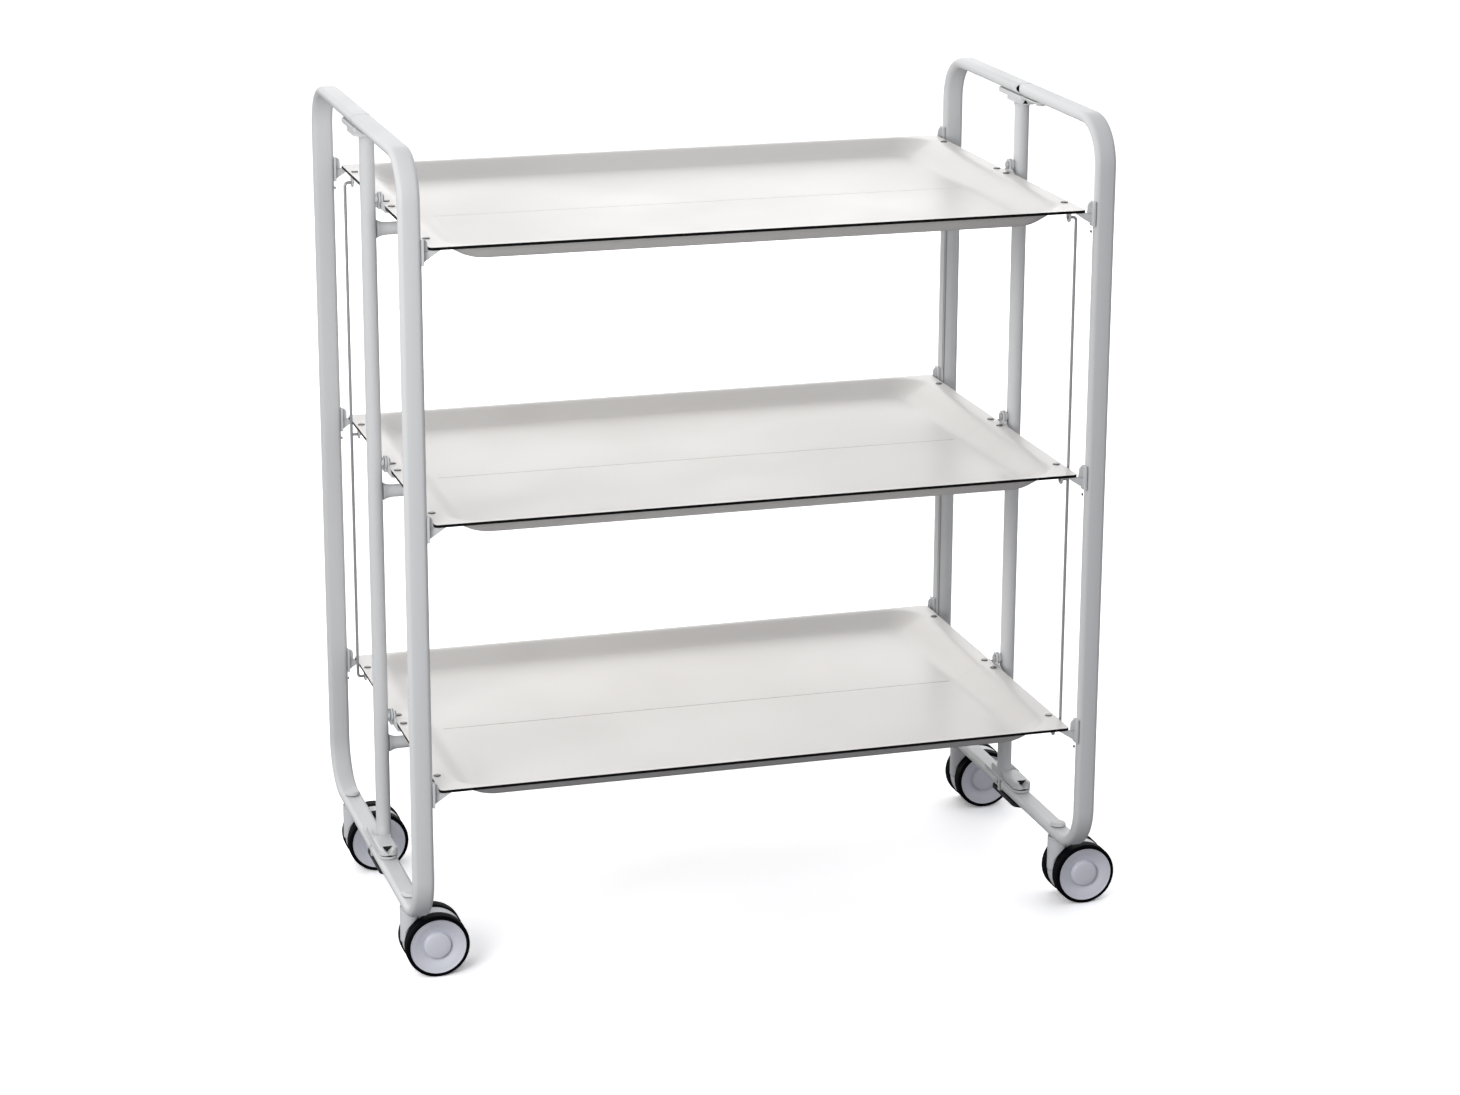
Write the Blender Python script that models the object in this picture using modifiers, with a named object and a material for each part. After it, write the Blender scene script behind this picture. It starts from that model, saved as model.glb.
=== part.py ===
# Folding serving trolley: three split trays on a centre ladder, four quarter frames and twin castors.
# Metres, +Z up, length along X, front towards -Y, floor at z = 0.
import math

import bmesh
import bpy
from mathutils import Matrix, Vector

for old in list(bpy.data.objects):
    bpy.data.objects.remove(old, do_unlink=True)

# Running and resting gaps between neighbours
clearance = 0.0003
overrun = 0.002
weld = 0.0003

# Whole trolley
trolleyHeight = 0.780

# Trays: pressed laminate sheet with a shallow recess, split along the middle
trayLength = 0.608
trayDepth = 0.402
traySplit = 0.0008
traySheet = 0.0024
trayRecess = 0.014
trayEndMargin = 0.011
trayEndSlope = 0.034
traySideMargin = 0.003
traySideSlope = 0.022
trayCorner = 0.004
trayDrop = 0.083
lowTrayRise = 0.1237

# Quarter frames: flat-oval tube
tubeWide = 0.020
tubeThick = 0.010
tubeEndGap = 0.0073
postInset = 0.001
bendTop = 0.040
bendBottom = 0.044
lowerRailTop = 0.0757
tailRound = 0.008
tailGap = 0.0003

# Centre ladder
centrePostRadius = 0.007
centrePostInset = 0.0038
headRoom = 0.0092
crossBarRadius = 0.006
crossCollarRadius = 0.0085
crossCollarLength = 0.0035

# Frame pivots and the plates that carry them
pivotOffset = 0.038
pivotRadius = 0.004
plateThick = 0.003
plateHalfWidth = 0.0078
plateEnd = 0.008
headLugDepth = 0.0042
headLugReach = 0.014
headSaddle = 0.014
pivotDepth = 0.0072
rivetHeadRadius = 0.0048
rivetHeadHeight = 0.0021
footWeb = 0.0044
footWebGap = 0.0004
footEarRise = 0.0068
footEarHalfWidth = 0.0065
footSocketHalf = 0.0092
footSocketRise = 0.0079
footStrapRear = 0.024

# Tray pivots
trayPivotRise = 0.0055
trayPinRadius = 0.0025
trayPinHead = 0.004
trayPinHeadThick = 0.0014
trayPinShoulder = 0.004
eyeRadius = 0.006
eyeThick = 0.0016
eyeGap = 0.0006
eyeFootStart = 0.008
eyeFootLength = 0.016
pinClearance = 0.0004

# Straps under the tray ends
strapThick = 0.0016
strapWide = 0.0095
strapInset = 0.001
strapStart = 0.007
rodInset = 0.030
tabHalfWidth = 0.0045
strapPastTab = 0.0015
tabDrop = 0.0120

# Link rods outside the tray ends
rodRadius = 0.0014
rodGap = 0.0008
rodBend = 0.003
rodHookPast = 0.001

# Corner brackets welded to the corner posts
bracketPlate = 0.0022
bracketBack = 0.0018
bracketRise = 0.008
bracketDrop = 0.015
bracketReach = 0.0105
bracketEarGap = 0.0014
bracketSet = 0.0008

# Castors
wheelRadius = 0.030
wheelWide = 0.0130
wheelGap = 0.0004
tyreThick = 0.0034
tyreEdge = 0.0009
hubCone = 0.0006
hubDiscRadius = 0.012
hubDiscRise = 0.0010
castorTrail = 0.0217
castorInset = 0.0623
housingWeb = 0.0144
housingBarrel = 0.0098
housingBarrelBottom = 0.044
housingRim = 0.0012
housingGround = 0.009
housingLegGround = 0.030
axleRadius = 0.003
axleReach = 0.0095
axleEndGap = 0.0006
stemRadius = 0.004
stemBottom = 0.0320
stemCapRadius = 0.0072
stemCapHeight = 0.0038
stemCapEdge = 0.0018

# Facet counts
tubeArcSteps = 4
bendSteps = 5
roundSides = 16
pinSides = 12
smallSides = 8
wheelSides = 20
arcSteps = 4

# Levels and places that follow from the sizes
railTopZ = trolleyHeight - tubeThick / 2
railUnder = trolleyHeight - tubeThick
lowerRailZ = lowerRailTop - tubeThick / 2
lowerRailUnder = lowerRailTop - tubeThick
rimTop = trolleyHeight - trayDrop
rimLow = lowerRailTop + lowTrayRise
rimLevels = {"top": rimTop, "middle": (rimTop + rimLow) / 2, "bottom": rimLow}
railX = trayLength / 2 + tubeEndGap + tubeWide / 2
postY = trayDepth / 2 - postInset
centrePostX = railX - centrePostInset
centrePostTop = railUnder - headRoom
castorY = postY - castorInset
rodX = trayLength / 2 + rodGap + rodRadius
rodY = trayDepth / 2 - rodInset
wheelInner = housingWeb / 2 + wheelGap
wheelOuter = wheelInner + wheelWide
# The castors trail to +X, so the middle of the whole outline lies off the middle of the trays.
centreX = -(castorTrail + wheelRadius - tubeWide / 2) / 2

# Colours and surfaces
finishes = {
    "white_laminate": ((0.86, 0.84, 0.82, 1.0), 0.35, 0.0),
    "white_enamel": ((0.80, 0.81, 0.81, 1.0), 0.38, 0.0),
    "white_plastic": ((0.82, 0.83, 0.86, 1.0), 0.42, 0.0),
    "hub_plastic": ((0.70, 0.72, 0.80, 1.0), 0.45, 0.0),
    "black_rubber": ((0.012, 0.012, 0.016, 1.0), 0.62, 0.0),
}

trolleyParts = bpy.data.collections.new("folding_serving_trolley")
cutterParts = bpy.data.collections.new("cutters")
for collection in (trolleyParts, cutterParts):
    bpy.context.scene.collection.children.link(collection)

materials = {}
for label, (colour, roughness, metallic) in finishes.items():
    material = bpy.data.materials.new(label)
    material.use_nodes = True
    shader = material.node_tree.nodes["Principled BSDF"]
    shader.inputs["Base Color"].default_value = colour
    shader.inputs["Roughness"].default_value = roughness
    shader.inputs["Metallic"].default_value = metallic
    materials[label] = material

trolleyOrigin = bpy.data.objects.new("trolley_origin", None)
trolleyOrigin.location = (centreX, 0, 0)
trolleyParts.objects.link(trolleyOrigin)


# Working shapes, all in the trolley's own coordinates

def solid(mesh, label="working"):
    piece = bpy.data.objects.new(label, mesh)
    cutterParts.objects.link(piece)
    piece.display_type = "WIRE"
    piece.hide_render = True
    return piece


def box(low, high):
    shape = bmesh.new()
    bmesh.ops.create_cube(shape, size=1.0)
    size = Vector(high) - Vector(low)
    middle = (Vector(high) + Vector(low)) / 2
    shape.transform(Matrix.Translation(middle) @ Matrix.Diagonal((*size, 1.0)))
    mesh = bpy.data.meshes.new("box")
    shape.to_mesh(mesh)
    shape.free()
    return solid(mesh)


def rod(start, end, radius, sides=roundSides, endRadius=None):
    start, end = Vector(start), Vector(end)
    shape = bmesh.new()
    bmesh.ops.create_cone(shape, cap_ends=True, segments=sides, radius1=radius,
                          radius2=radius if endRadius is None else endRadius,
                          depth=(end - start).length)
    turn = (end - start).to_track_quat("Z", "Y").to_matrix().to_4x4()
    shape.transform(Matrix.Translation((start + end) / 2) @ turn)
    mesh = bpy.data.meshes.new("rod")
    shape.to_mesh(mesh)
    shape.free()
    return solid(mesh)


def arc(centre, radius, startDegrees, endDegrees, steps=arcSteps):
    points = []
    for step in range(steps + 1):
        angle = math.radians(startDegrees + (endDegrees - startDegrees) * step / steps)
        points.append((centre[0] + radius * math.cos(angle), centre[1] + radius * math.sin(angle)))
    return points


def curveMesh(curveObject):
    # A curve's caps are loose, so its mesh is welded before any cut.
    trolleyParts.objects.link(curveObject)
    bpy.context.view_layer.update()
    evaluated = curveObject.evaluated_get(bpy.context.evaluated_depsgraph_get())
    mesh = bpy.data.meshes.new_from_object(evaluated)
    mesh.transform(curveObject.matrix_world)
    shape = bmesh.new()
    shape.from_mesh(mesh)
    bmesh.ops.remove_doubles(shape, verts=shape.verts, dist=weld / 100)
    bmesh.ops.recalc_face_normals(shape, faces=shape.faces)
    shape.to_mesh(mesh)
    shape.free()
    bpy.data.objects.remove(curveObject, do_unlink=True)
    return mesh


# Which way a flat outline lies: its two directions and the one that it is extruded along
planes = {
    "XY": Matrix(((1, 0, 0, 0), (0, 1, 0, 0), (0, 0, 1, 0), (0, 0, 0, 1))),
    "YZ": Matrix(((0, 0, 1, 0), (1, 0, 0, 0), (0, 1, 0, 0), (0, 0, 0, 1))),
    "XZ": Matrix(((1, 0, 0, 0), (0, 0, -1, 0), (0, 1, 0, 0), (0, 0, 0, 1))),
}


def plate(points, low, high, plane):
    # A flat outline, extruded from low to high along the direction across its plane.
    curve = bpy.data.curves.new("plate", "CURVE")
    curve.dimensions = "2D"
    curve.fill_mode = "BOTH"
    curve.extrude = (high - low) / 2
    spline = curve.splines.new("POLY")
    spline.points.add(len(points) - 1)
    for point, place in zip(spline.points, points):
        point.co = (place[0], place[1], 0, 1)
    spline.use_cyclic_u = True
    outline = bpy.data.objects.new("plate", curve)
    middle = (low + high) / 2
    across = {"XY": (0, 0, middle), "YZ": (middle, 0, 0), "XZ": (0, middle, 0)}[plane]
    outline.matrix_world = Matrix.Translation(across) @ planes[plane]
    return solid(curveMesh(outline))


def combine(piece, others, operation):
    for other in others:
        change = piece.modifiers.new(operation.lower(), "BOOLEAN")
        change.operation = operation
        change.solver = "EXACT"
        change.object = other
    bpy.context.view_layer.update()
    evaluated = piece.evaluated_get(bpy.context.evaluated_depsgraph_get())
    mesh = bpy.data.meshes.new_from_object(evaluated)
    piece.modifiers.clear()
    piece.data = mesh
    for other in others:
        bpy.data.objects.remove(other, do_unlink=True)
    return piece


def join(piece, *others):
    return combine(piece, others, "UNION")


def cut(piece, *others):
    return combine(piece, others, "DIFFERENCE")


def turned(profile, sides):
    # A profile of (radius, height) points, turned about Z.
    mesh = bpy.data.meshes.new("turned")
    shape = bmesh.new()
    corners = [shape.verts.new((radius, 0, height)) for radius, height in profile]
    closed = profile[0][0] > 0
    pairs = zip(corners, corners[1:] + corners[:1]) if closed else zip(corners, corners[1:])
    for first, second in pairs:
        shape.edges.new((first, second))
    shape.to_mesh(mesh)
    shape.free()
    piece = solid(mesh)
    screw = piece.modifiers.new("turn", "SCREW")
    screw.steps = screw.render_steps = sides
    screw.use_merge_vertices = True
    screw.merge_threshold = weld / 100
    screw.use_normal_calculate = True
    bpy.context.view_layer.update()
    evaluated = piece.evaluated_get(bpy.context.evaluated_depsgraph_get())
    mesh = bpy.data.meshes.new_from_object(evaluated)
    shape = bmesh.new()
    shape.from_mesh(mesh)
    bmesh.ops.recalc_face_normals(shape, faces=shape.faces)
    shape.to_mesh(mesh)
    shape.free()
    piece.modifiers.clear()
    piece.data = mesh
    return piece


def moved(piece, matrix):
    # A copy of a piece's mesh under a matrix, turned outside in where the matrix mirrors it.
    mesh = piece.data.copy()
    mesh.transform(matrix)
    if matrix.determinant() < 0:
        mesh.flip_normals()
    return mesh


def sided(sideX, sideY):
    return Matrix.Diagonal((sideX, sideY, 1.0, 1.0))


# Bodies: each has an empty on its joint's axis, and its pieces hang on that
bodies = {}


def body(label, place=(0, 0, 0)):
    if label not in bodies:
        empty = bpy.data.objects.new(label + "_axis", None)
        empty.location = place
        empty.parent = trolleyOrigin
        trolleyParts.objects.link(empty)
        bodies[label] = empty
    return bodies[label]


def finish(name, mesh, bodyLabel, finishLabel, smoothDegrees=40):
    holder = bodies[bodyLabel]
    mesh.transform(Matrix.Translation(-holder.location))
    mesh.name = name
    mesh.materials.clear()
    mesh.materials.append(materials[finishLabel])
    mesh.shade_smooth()
    mesh.set_sharp_from_angle(angle=math.radians(smoothDegrees))
    piece = bpy.data.objects.new(name, mesh)
    trolleyParts.objects.link(piece)
    piece.parent = holder
    return piece


def clearWorking():
    for piece in list(cutterParts.objects):
        bpy.data.objects.remove(piece, do_unlink=True)


ends = {"left": -1, "right": 1}
sides = {"front": -1, "rear": 1}
body("ladder")


# Centre posts, each with three riveted tray pins

def centrePost():
    post = rod((centrePostX, 0, lowerRailTop + plateThick + footSocketRise + 2 * clearance),
               (centrePostX, 0, centrePostTop), centrePostRadius)
    studs = []
    for level in rimLevels.values():
        height = level + trayPivotRise
        shoulderEnd = trayLength / 2 + 3 * eyeGap + 2 * eyeThick
        headEnd = trayLength / 2 + eyeGap - clearance
        studs.append(rod((centrePostX - centrePostRadius + overrun, 0, height), (shoulderEnd, 0, height),
                         trayPinShoulder, pinSides))
        studs.append(rod((shoulderEnd + overrun, 0, height), (headEnd - trayPinHeadThick / 2, 0, height),
                         trayPinRadius, smallSides))
        studs.append(rod((headEnd, 0, height), (headEnd - trayPinHeadThick, 0, height),
                         trayPinHead, pinSides))
    return join(post, *studs)


post = centrePost()
for end, sideX in ends.items():
    finish("centre_post_" + end, moved(post, sided(sideX, 1)), "ladder", "white_enamel")
clearWorking()


# Cross bars under the trays, flared where they meet the posts

barEnd = centrePostX - centrePostRadius - clearance
for label, level in rimLevels.items():
    height = level - trayRecess - traySheet - clearance - crossBarRadius
    bar = rod((-barEnd, 0, height), (barEnd, 0, height), crossBarRadius)
    collars = [rod((sideX * barEnd, 0, height), (sideX * (barEnd - crossCollarLength), 0, height),
                   crossCollarRadius, roundSides, crossBarRadius + overrun / 4) for sideX in (-1, 1)]
    finish("cross_bar_" + label, join(bar, *collars).data.copy(), "ladder", "white_enamel")
clearWorking()


# Head plates: they carry the two upper frame pivots over each centre post

def slot(frontY, rearY, halfWidth, middleX):
    # An outline with round ends, from the front end to the rear one.
    front = arc((middleX, frontY + halfWidth), halfWidth, 180, 360)
    rear = arc((middleX, rearY - halfWidth), halfWidth, 0, 180)
    return front + rear


plateFront = -(pivotOffset + plateEnd)
headTop = railUnder - clearance
headUnder = headTop - plateThick
lugRear = pivotOffset + headLugReach


def headPlate():
    piece = plate(slot(plateFront, lugRear, plateHalfWidth, railX), headUnder, headTop, "XY")
    lug = plate(slot(-headSaddle / 2, lugRear, plateHalfWidth, railX),
                headUnder - headLugDepth, headUnder + overrun / 2, "XY")
    saddle = box((centrePostX - centrePostRadius, -headSaddle / 2, centrePostTop + clearance),
                 (centrePostX + centrePostRadius, headSaddle, headUnder + overrun / 2))
    studs = [rod((railX, y, headUnder + overrun / 2), (railX, y, headTop + pivotDepth), pivotRadius, pinSides)
             for y in (-pivotOffset, pivotOffset)]
    head = rod((railX, -pivotOffset, headUnder + overrun / 2),
               (railX, -pivotOffset, headUnder - rivetHeadHeight), rivetHeadRadius)
    return join(piece, lug, saddle, head, *studs)


headPiece = headPlate()
for end, sideX in ends.items():
    finish("head_plate_" + end, moved(headPiece, sided(sideX, 1)), "ladder", "white_enamel")
clearWorking()


# Foot brackets: a plate over and a strap under the lower rails, joined by a web and the front pivot

footPlateLow = lowerRailTop + clearance
footPlateHigh = footPlateLow + plateThick
strapHigh = lowerRailUnder - clearance
strapLow = strapHigh - plateThick


def footBracket():
    piece = plate(slot(plateFront, -plateFront, plateHalfWidth, railX), footPlateLow, footPlateHigh, "XY")
    strap = plate(slot(plateFront, footStrapRear, plateHalfWidth, railX), strapLow, strapHigh, "XY")
    ear = plate(slot(plateFront + clearance, -footSocketHalf / 2, footEarHalfWidth, railX),
                footPlateHigh - overrun / 2, footPlateHigh + footEarRise, "XY")
    socket = box((centrePostX - footSocketHalf, -footSocketHalf, footPlateHigh - overrun / 2),
                 (centrePostX + footSocketHalf, footSocketHalf, lowerRailTop + plateThick + footSocketRise))
    web = box((railX - plateHalfWidth, -footWeb / 2, strapHigh - overrun / 2),
              (railX + plateHalfWidth, footWeb / 2, footPlateLow + overrun / 2))
    frontPin = rod((railX, -pivotOffset, strapHigh - overrun / 2),
                   (railX, -pivotOffset, footPlateLow + overrun / 2), pivotRadius)
    rearPin = rod((railX, pivotOffset, lowerRailUnder),
                  (railX, pivotOffset, footPlateLow + overrun / 2), pivotRadius)
    rearHead = rod((railX, pivotOffset, lowerRailUnder - clearance - rivetHeadHeight),
                   (railX, pivotOffset, lowerRailUnder - clearance), rivetHeadRadius)
    neck = rod((railX, pivotOffset, lowerRailUnder + overrun / 2),
               (railX, pivotOffset, lowerRailUnder - overrun / 2), pivotRadius)
    return join(piece, strap, ear, socket, web, frontPin, rearPin, rearHead, neck)


footPiece = footBracket()
for end, sideX in ends.items():
    finish("foot_bracket_" + end, moved(footPiece, sided(sideX, 1)), "ladder", "white_enamel")
clearWorking()
print("ladder done")


# Quarter frames: half a top rail, a corner post and half a lower rail in one bent tube

def quarterFrame():
    # Built for the right rear corner, where the trolley's middle is towards -X and -Y.
    halfRound = tubeThick / 2
    flat = tubeWide / 2 - halfRound
    section = arc((flat, 0), halfRound, -90, 90, tubeArcSteps)
    section += arc((-flat, 0), halfRound, 90, 270, tubeArcSteps)
    profile = bpy.data.curves.new("tube_section", "CURVE")
    profile.dimensions = "2D"
    profile.fill_mode = "NONE"
    ring = profile.splines.new("POLY")
    ring.points.add(len(section) - 1)
    for point, place in zip(ring.points, section):
        point.co = (place[0], place[1], 0, 1)
    ring.use_cyclic_u = True
    profileObject = bpy.data.objects.new("tube_section", profile)
    profileObject.hide_render = True
    cutterParts.objects.link(profileObject)

    route = [(tailGap, railTopZ)]
    route += arc((postY - bendTop, railTopZ - bendTop), bendTop, 90, 0, bendSteps)
    route += arc((postY - bendBottom, lowerRailZ + bendBottom), bendBottom, 0, -90, bendSteps)
    route += [(footWeb / 2 + footWebGap, lowerRailZ)]
    curve = bpy.data.curves.new("quarter_frame", "CURVE")
    curve.dimensions = "3D"
    curve.twist_mode = "MINIMUM"
    curve.bevel_mode = "OBJECT"
    curve.bevel_object = profileObject
    curve.use_fill_caps = True
    spline = curve.splines.new("POLY")
    spline.points.add(len(route) - 1)
    for point, (y, z) in zip(spline.points, route):
        point.co = (railX, y, z, 1)
    tube = solid(curveMesh(bpy.data.objects.new("quarter_frame", curve)))

    brackets = []
    plateY = postY - bracketSet
    innerFace = railX - tubeWide / 2
    earX = trayLength / 2 + bracketEarGap
    tipX = trayLength / 2 - bracketReach
    seat = traySheet + clearance
    for level in rimLevels.values():
        earRound = (innerFace - earX) / 2
        gusset = [(innerFace + weld * 3, level - bracketDrop), (innerFace - bracketBack, level - bracketDrop),
                  (tipX, level - seat), (earX, level - seat)]
        gusset += arc((earX + earRound, level + bracketRise - earRound), earRound, 180, 90)
        gusset += [(innerFace + weld * 3, level + bracketRise)]
        brackets.append(plate(gusset[::-1], plateY - bracketPlate / 2, plateY + bracketPlate / 2, "XZ"))
        brackets.append(box((innerFace - bracketBack, postY - tubeThick / 2, level - bracketDrop),
                            (innerFace + weld, postY + tubeThick / 2, level + bracketRise)))
    join(tube, *brackets)

    holes = []
    holes.append(rod((railX, pivotOffset, railUnder - overrun),
                     (railX, pivotOffset, headTop + pivotDepth + clearance), pivotRadius + clearance))
    holes.append(rod((railX, pivotOffset, lowerRailUnder - overrun),
                     (railX, pivotOffset, lowerRailTop + overrun), pivotRadius + clearance))
    holes.append(rod((railX, castorY, lowerRailUnder - overrun),
                     (railX, castorY, lowerRailTop + overrun), stemRadius + clearance))
    for endY, low, high in ((tailGap, railUnder, trolleyHeight),
                            (footWeb / 2 + footWebGap, lowerRailUnder, lowerRailTop)):
        # The tail's inner corner is rounded, so that the frame can swing past its neighbour.
        inner = railX - tubeWide / 2
        corner = [(inner - overrun, endY + tailRound), (inner - overrun, endY - overrun),
                  (inner + tailRound, endY - overrun)]
        corner += arc((inner + tailRound, endY + tailRound), tailRound, 270, 180)
        holes.append(plate(corner, low - overrun, high + overrun, "XY"))
    return cut(tube, *holes)


frame = quarterFrame()
for end, sideX in ends.items():
    for side, sideY in sides.items():
        label = side + "_" + end
        body("frame_" + label, (sideX * railX, sideY * pivotOffset, 0))
        finish("quarter_frame_" + label, moved(frame, sided(sideX, sideY)), "frame_" + label, "white_enamel")
clearWorking()
print("frames done")


# Tray halves: a grid pressed into a recess that stays open along the split

def rise(share):
    share = min(max(share, 0.0), 1.0)
    return share * share * (3 - 2 * share)


def trayHalf():
    # The rear half at rim level 0.
    slopeShares = (0, 0.3, 0.7, 1)
    halfLength = trayLength / 2
    innerEdge = traySplit / 2
    outerEdge = trayDepth / 2
    stationsX = [halfLength] + [halfLength - trayEndMargin - share * trayEndSlope for share in slopeShares]
    stationsX = [-x for x in stationsX] + stationsX[::-1]
    slopeY = [outerEdge - traySideMargin - share * traySideSlope for share in slopeShares]
    stationsY = [innerEdge] + slopeY[::-1] + [outerEdge]
    countX, countY = len(stationsX) - 1, len(stationsY) - 1
    shape = bmesh.new()
    bmesh.ops.create_grid(shape, x_segments=countX, y_segments=countY, size=1.0)
    for vertex in shape.verts:
        x = stationsX[round((vertex.co.x + 1) / 2 * countX)]
        y = stationsY[round((vertex.co.y + 1) / 2 * countY)]
        deepX = rise((halfLength - trayEndMargin - abs(x)) / trayEndSlope)
        deepY = rise((outerEdge - traySideMargin - y) / traySideSlope)
        vertex.co = (x, y, -trayRecess * deepX * deepY)
    corners = [vertex for vertex in shape.verts
               if abs(abs(vertex.co.x) - halfLength) < weld and abs(vertex.co.y - outerEdge) < weld]
    bmesh.ops.bevel(shape, geom=corners, offset=trayCorner, segments=2, profile=0.5, affect="VERTICES",
                    clamp_overlap=True)
    mesh = bpy.data.meshes.new("tray_half")
    shape.to_mesh(mesh)
    shape.free()
    sheet = solid(mesh)
    thick = sheet.modifiers.new("sheet", "SOLIDIFY")
    thick.thickness = traySheet
    thick.offset = -1
    thick.use_even_offset = True
    return combine(sheet, (), "UNION")


tray = trayHalf()
for level in rimLevels:
    for side, sideY in sides.items():
        label = level + "_" + side
        height = rimLevels[level]
        body("tray_" + label, (0, 0, height + trayPivotRise))
        place = Matrix.Translation((0, 0, height)) @ sided(1, sideY)
        finish("tray_half_" + label, moved(tray, place), "tray_" + label, "white_laminate", 30)
clearWorking()
print("trays done")


# Straps under the tray ends: pivot eye in the middle, link-rod tab near the outer corner

strapMiddleX = trayLength / 2 - strapInset - strapWide / 2


def trayStrap(eyeX):
    # For the right end of the rear half, at rim level 0; eyeX is the inner face of its eye.
    top = -traySheet - clearance
    bottom = top - strapThick
    outerX = trayLength / 2 - strapInset
    innerX = outerX - strapWide
    footEnd = eyeFootStart + eyeFootLength
    flangeX = eyeX + eyeThick / 2
    outline = [(innerX, strapStart), (flangeX, strapStart), (flangeX, footEnd), (outerX, footEnd),
               (outerX, rodY + tabHalfWidth + strapPastTab), (innerX, rodY + tabHalfWidth + strapPastTab)]
    strip = plate(outline, bottom, top, "XY")
    arm = arc((0, trayPivotRise), eyeRadius, 35, 250, 2 * arcSteps)
    arm += [(eyeFootStart, bottom + strapThick / 4), (footEnd - strapThick, bottom + strapThick / 4),
            (footEnd - strapThick, top + strapThick / 4)]
    eye = plate(arm, eyeX, eyeX + eyeThick, "YZ")
    tabX = strapMiddleX
    tabOutline = arc((rodY, -tabDrop), tabHalfWidth, 180, 360)
    tabOutline += [(rodY + tabHalfWidth, top - strapThick / 2), (rodY - tabHalfWidth, top - strapThick / 2)]
    tab = plate(tabOutline, tabX, tabX + strapThick, "YZ")
    piece = join(strip, eye, tab)
    pinHole = rod((eyeX - overrun / 4, 0, trayPivotRise), (eyeX + eyeThick + overrun / 4, 0, trayPivotRise),
                  trayPinRadius + pinClearance, pinSides)
    hookHole = rod((tabX - overrun, rodY, -tabDrop), (tabX + strapThick + overrun, rodY, -tabDrop),
                   rodRadius + pinClearance, smallSides)
    return cut(piece, pinHole, hookHole)


eyeInner = {"front": trayLength / 2 + eyeGap, "rear": trayLength / 2 + 2 * eyeGap + eyeThick}
straps = {side: trayStrap(eyeInner[side]) for side in sides}
for level in rimLevels:
    for side, sideY in sides.items():
        for end, sideX in ends.items():
            place = Matrix.Translation((0, 0, rimLevels[level])) @ sided(sideX, sideY)
            finish("tray_strap_" + level + "_" + side + "_" + end, moved(straps[side], place),
                   "tray_" + level + "_" + side, "white_enamel")
clearWorking()
print("straps done")


# Link rods: they tie the three tray halves of a side together at each end

def linkRod():
    hookX = strapMiddleX - rodHookPast
    highZ = rimLevels["top"] - tabDrop
    lowZ = rimLevels["bottom"] - tabDrop
    route = [(hookX, highZ)] + arc((rodX - rodBend, highZ - rodBend), rodBend, 90, 0, 3)
    route += arc((rodX - rodBend, lowZ + rodBend), rodBend, 0, -90, 3) + [(hookX, lowZ)]
    curve = bpy.data.curves.new("link_rod", "CURVE")
    curve.dimensions = "3D"
    curve.bevel_depth = rodRadius
    curve.bevel_resolution = 1
    curve.use_fill_caps = True
    spline = curve.splines.new("POLY")
    spline.points.add(len(route) - 1)
    for point, (x, z) in zip(spline.points, route):
        point.co = (x, rodY, z, 1)
    wire = solid(curveMesh(bpy.data.objects.new("link_rod", curve)))
    middleZ = rimLevels["middle"] - tabDrop
    hook = rod((hookX, rodY, middleZ), (rodX, rodY, middleZ), rodRadius, smallSides)
    return join(wire, hook)


linkRodPiece = linkRod()
for side, sideY in sides.items():
    for end, sideX in ends.items():
        label = "link_rod_" + side + "_" + end
        body(label, (0, sideY * rodY, rimLevels["top"] - tabDrop))
        finish(label, moved(linkRodPiece, sided(sideX, sideY)), label, "white_enamel")
clearWorking()
print("rods done")


# Castors: stem and cap in the frame, a housing that swivels on the stem, two wheels on its axle

def castorStem():
    # At the stem's axis; the cap rests on the lower rail.
    seat = lowerRailTop + clearance
    profile = [(0, stemBottom), (stemRadius, stemBottom), (stemRadius, seat), (stemCapRadius, seat),
               (stemCapRadius, seat + stemCapEdge),
               (stemCapRadius * 0.72, seat + stemCapHeight * 0.88), (0, seat + stemCapHeight)]
    return turned(profile, roundSides)


def castorHousing():
    axle = Vector((castorTrail, 0, wheelRadius))
    top = lowerRailUnder - clearance
    half = housingWeb / 2
    across = Vector((0, half, 0))
    barrel = rod((0, 0, housingBarrelBottom), (0, 0, top), housingBarrel)
    wheelRoom = [rod(axle + sideY * across, axle + sideY * (across + Vector((0, housingBarrel, 0))),
                     wheelRadius + 2 * wheelGap, wheelSides) for sideY in (-1, 1)]
    cut(barrel, *wheelRoom)
    web = rod(axle - across, axle + across, wheelRadius - housingRim, wheelSides)
    leg = box((-housingBarrel + overrun / 4, -half, housingLegGround), (castorTrail / 2, half, top - overrun))
    ground = box((-housingBarrel - overrun, -housingBarrel, -overrun),
                 (castorTrail + wheelRadius + overrun, housingBarrel, housingGround))
    cut(web, ground)
    spindle = rod(axle - Vector((0, half + axleReach, 0)), axle + Vector((0, half + axleReach, 0)), axleRadius,
                  pinSides)
    join(barrel, leg, web, spindle)
    bore = rod((0, 0, stemBottom - clearance), (0, 0, top + overrun), stemRadius + clearance)
    return cut(barrel, bore)


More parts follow.
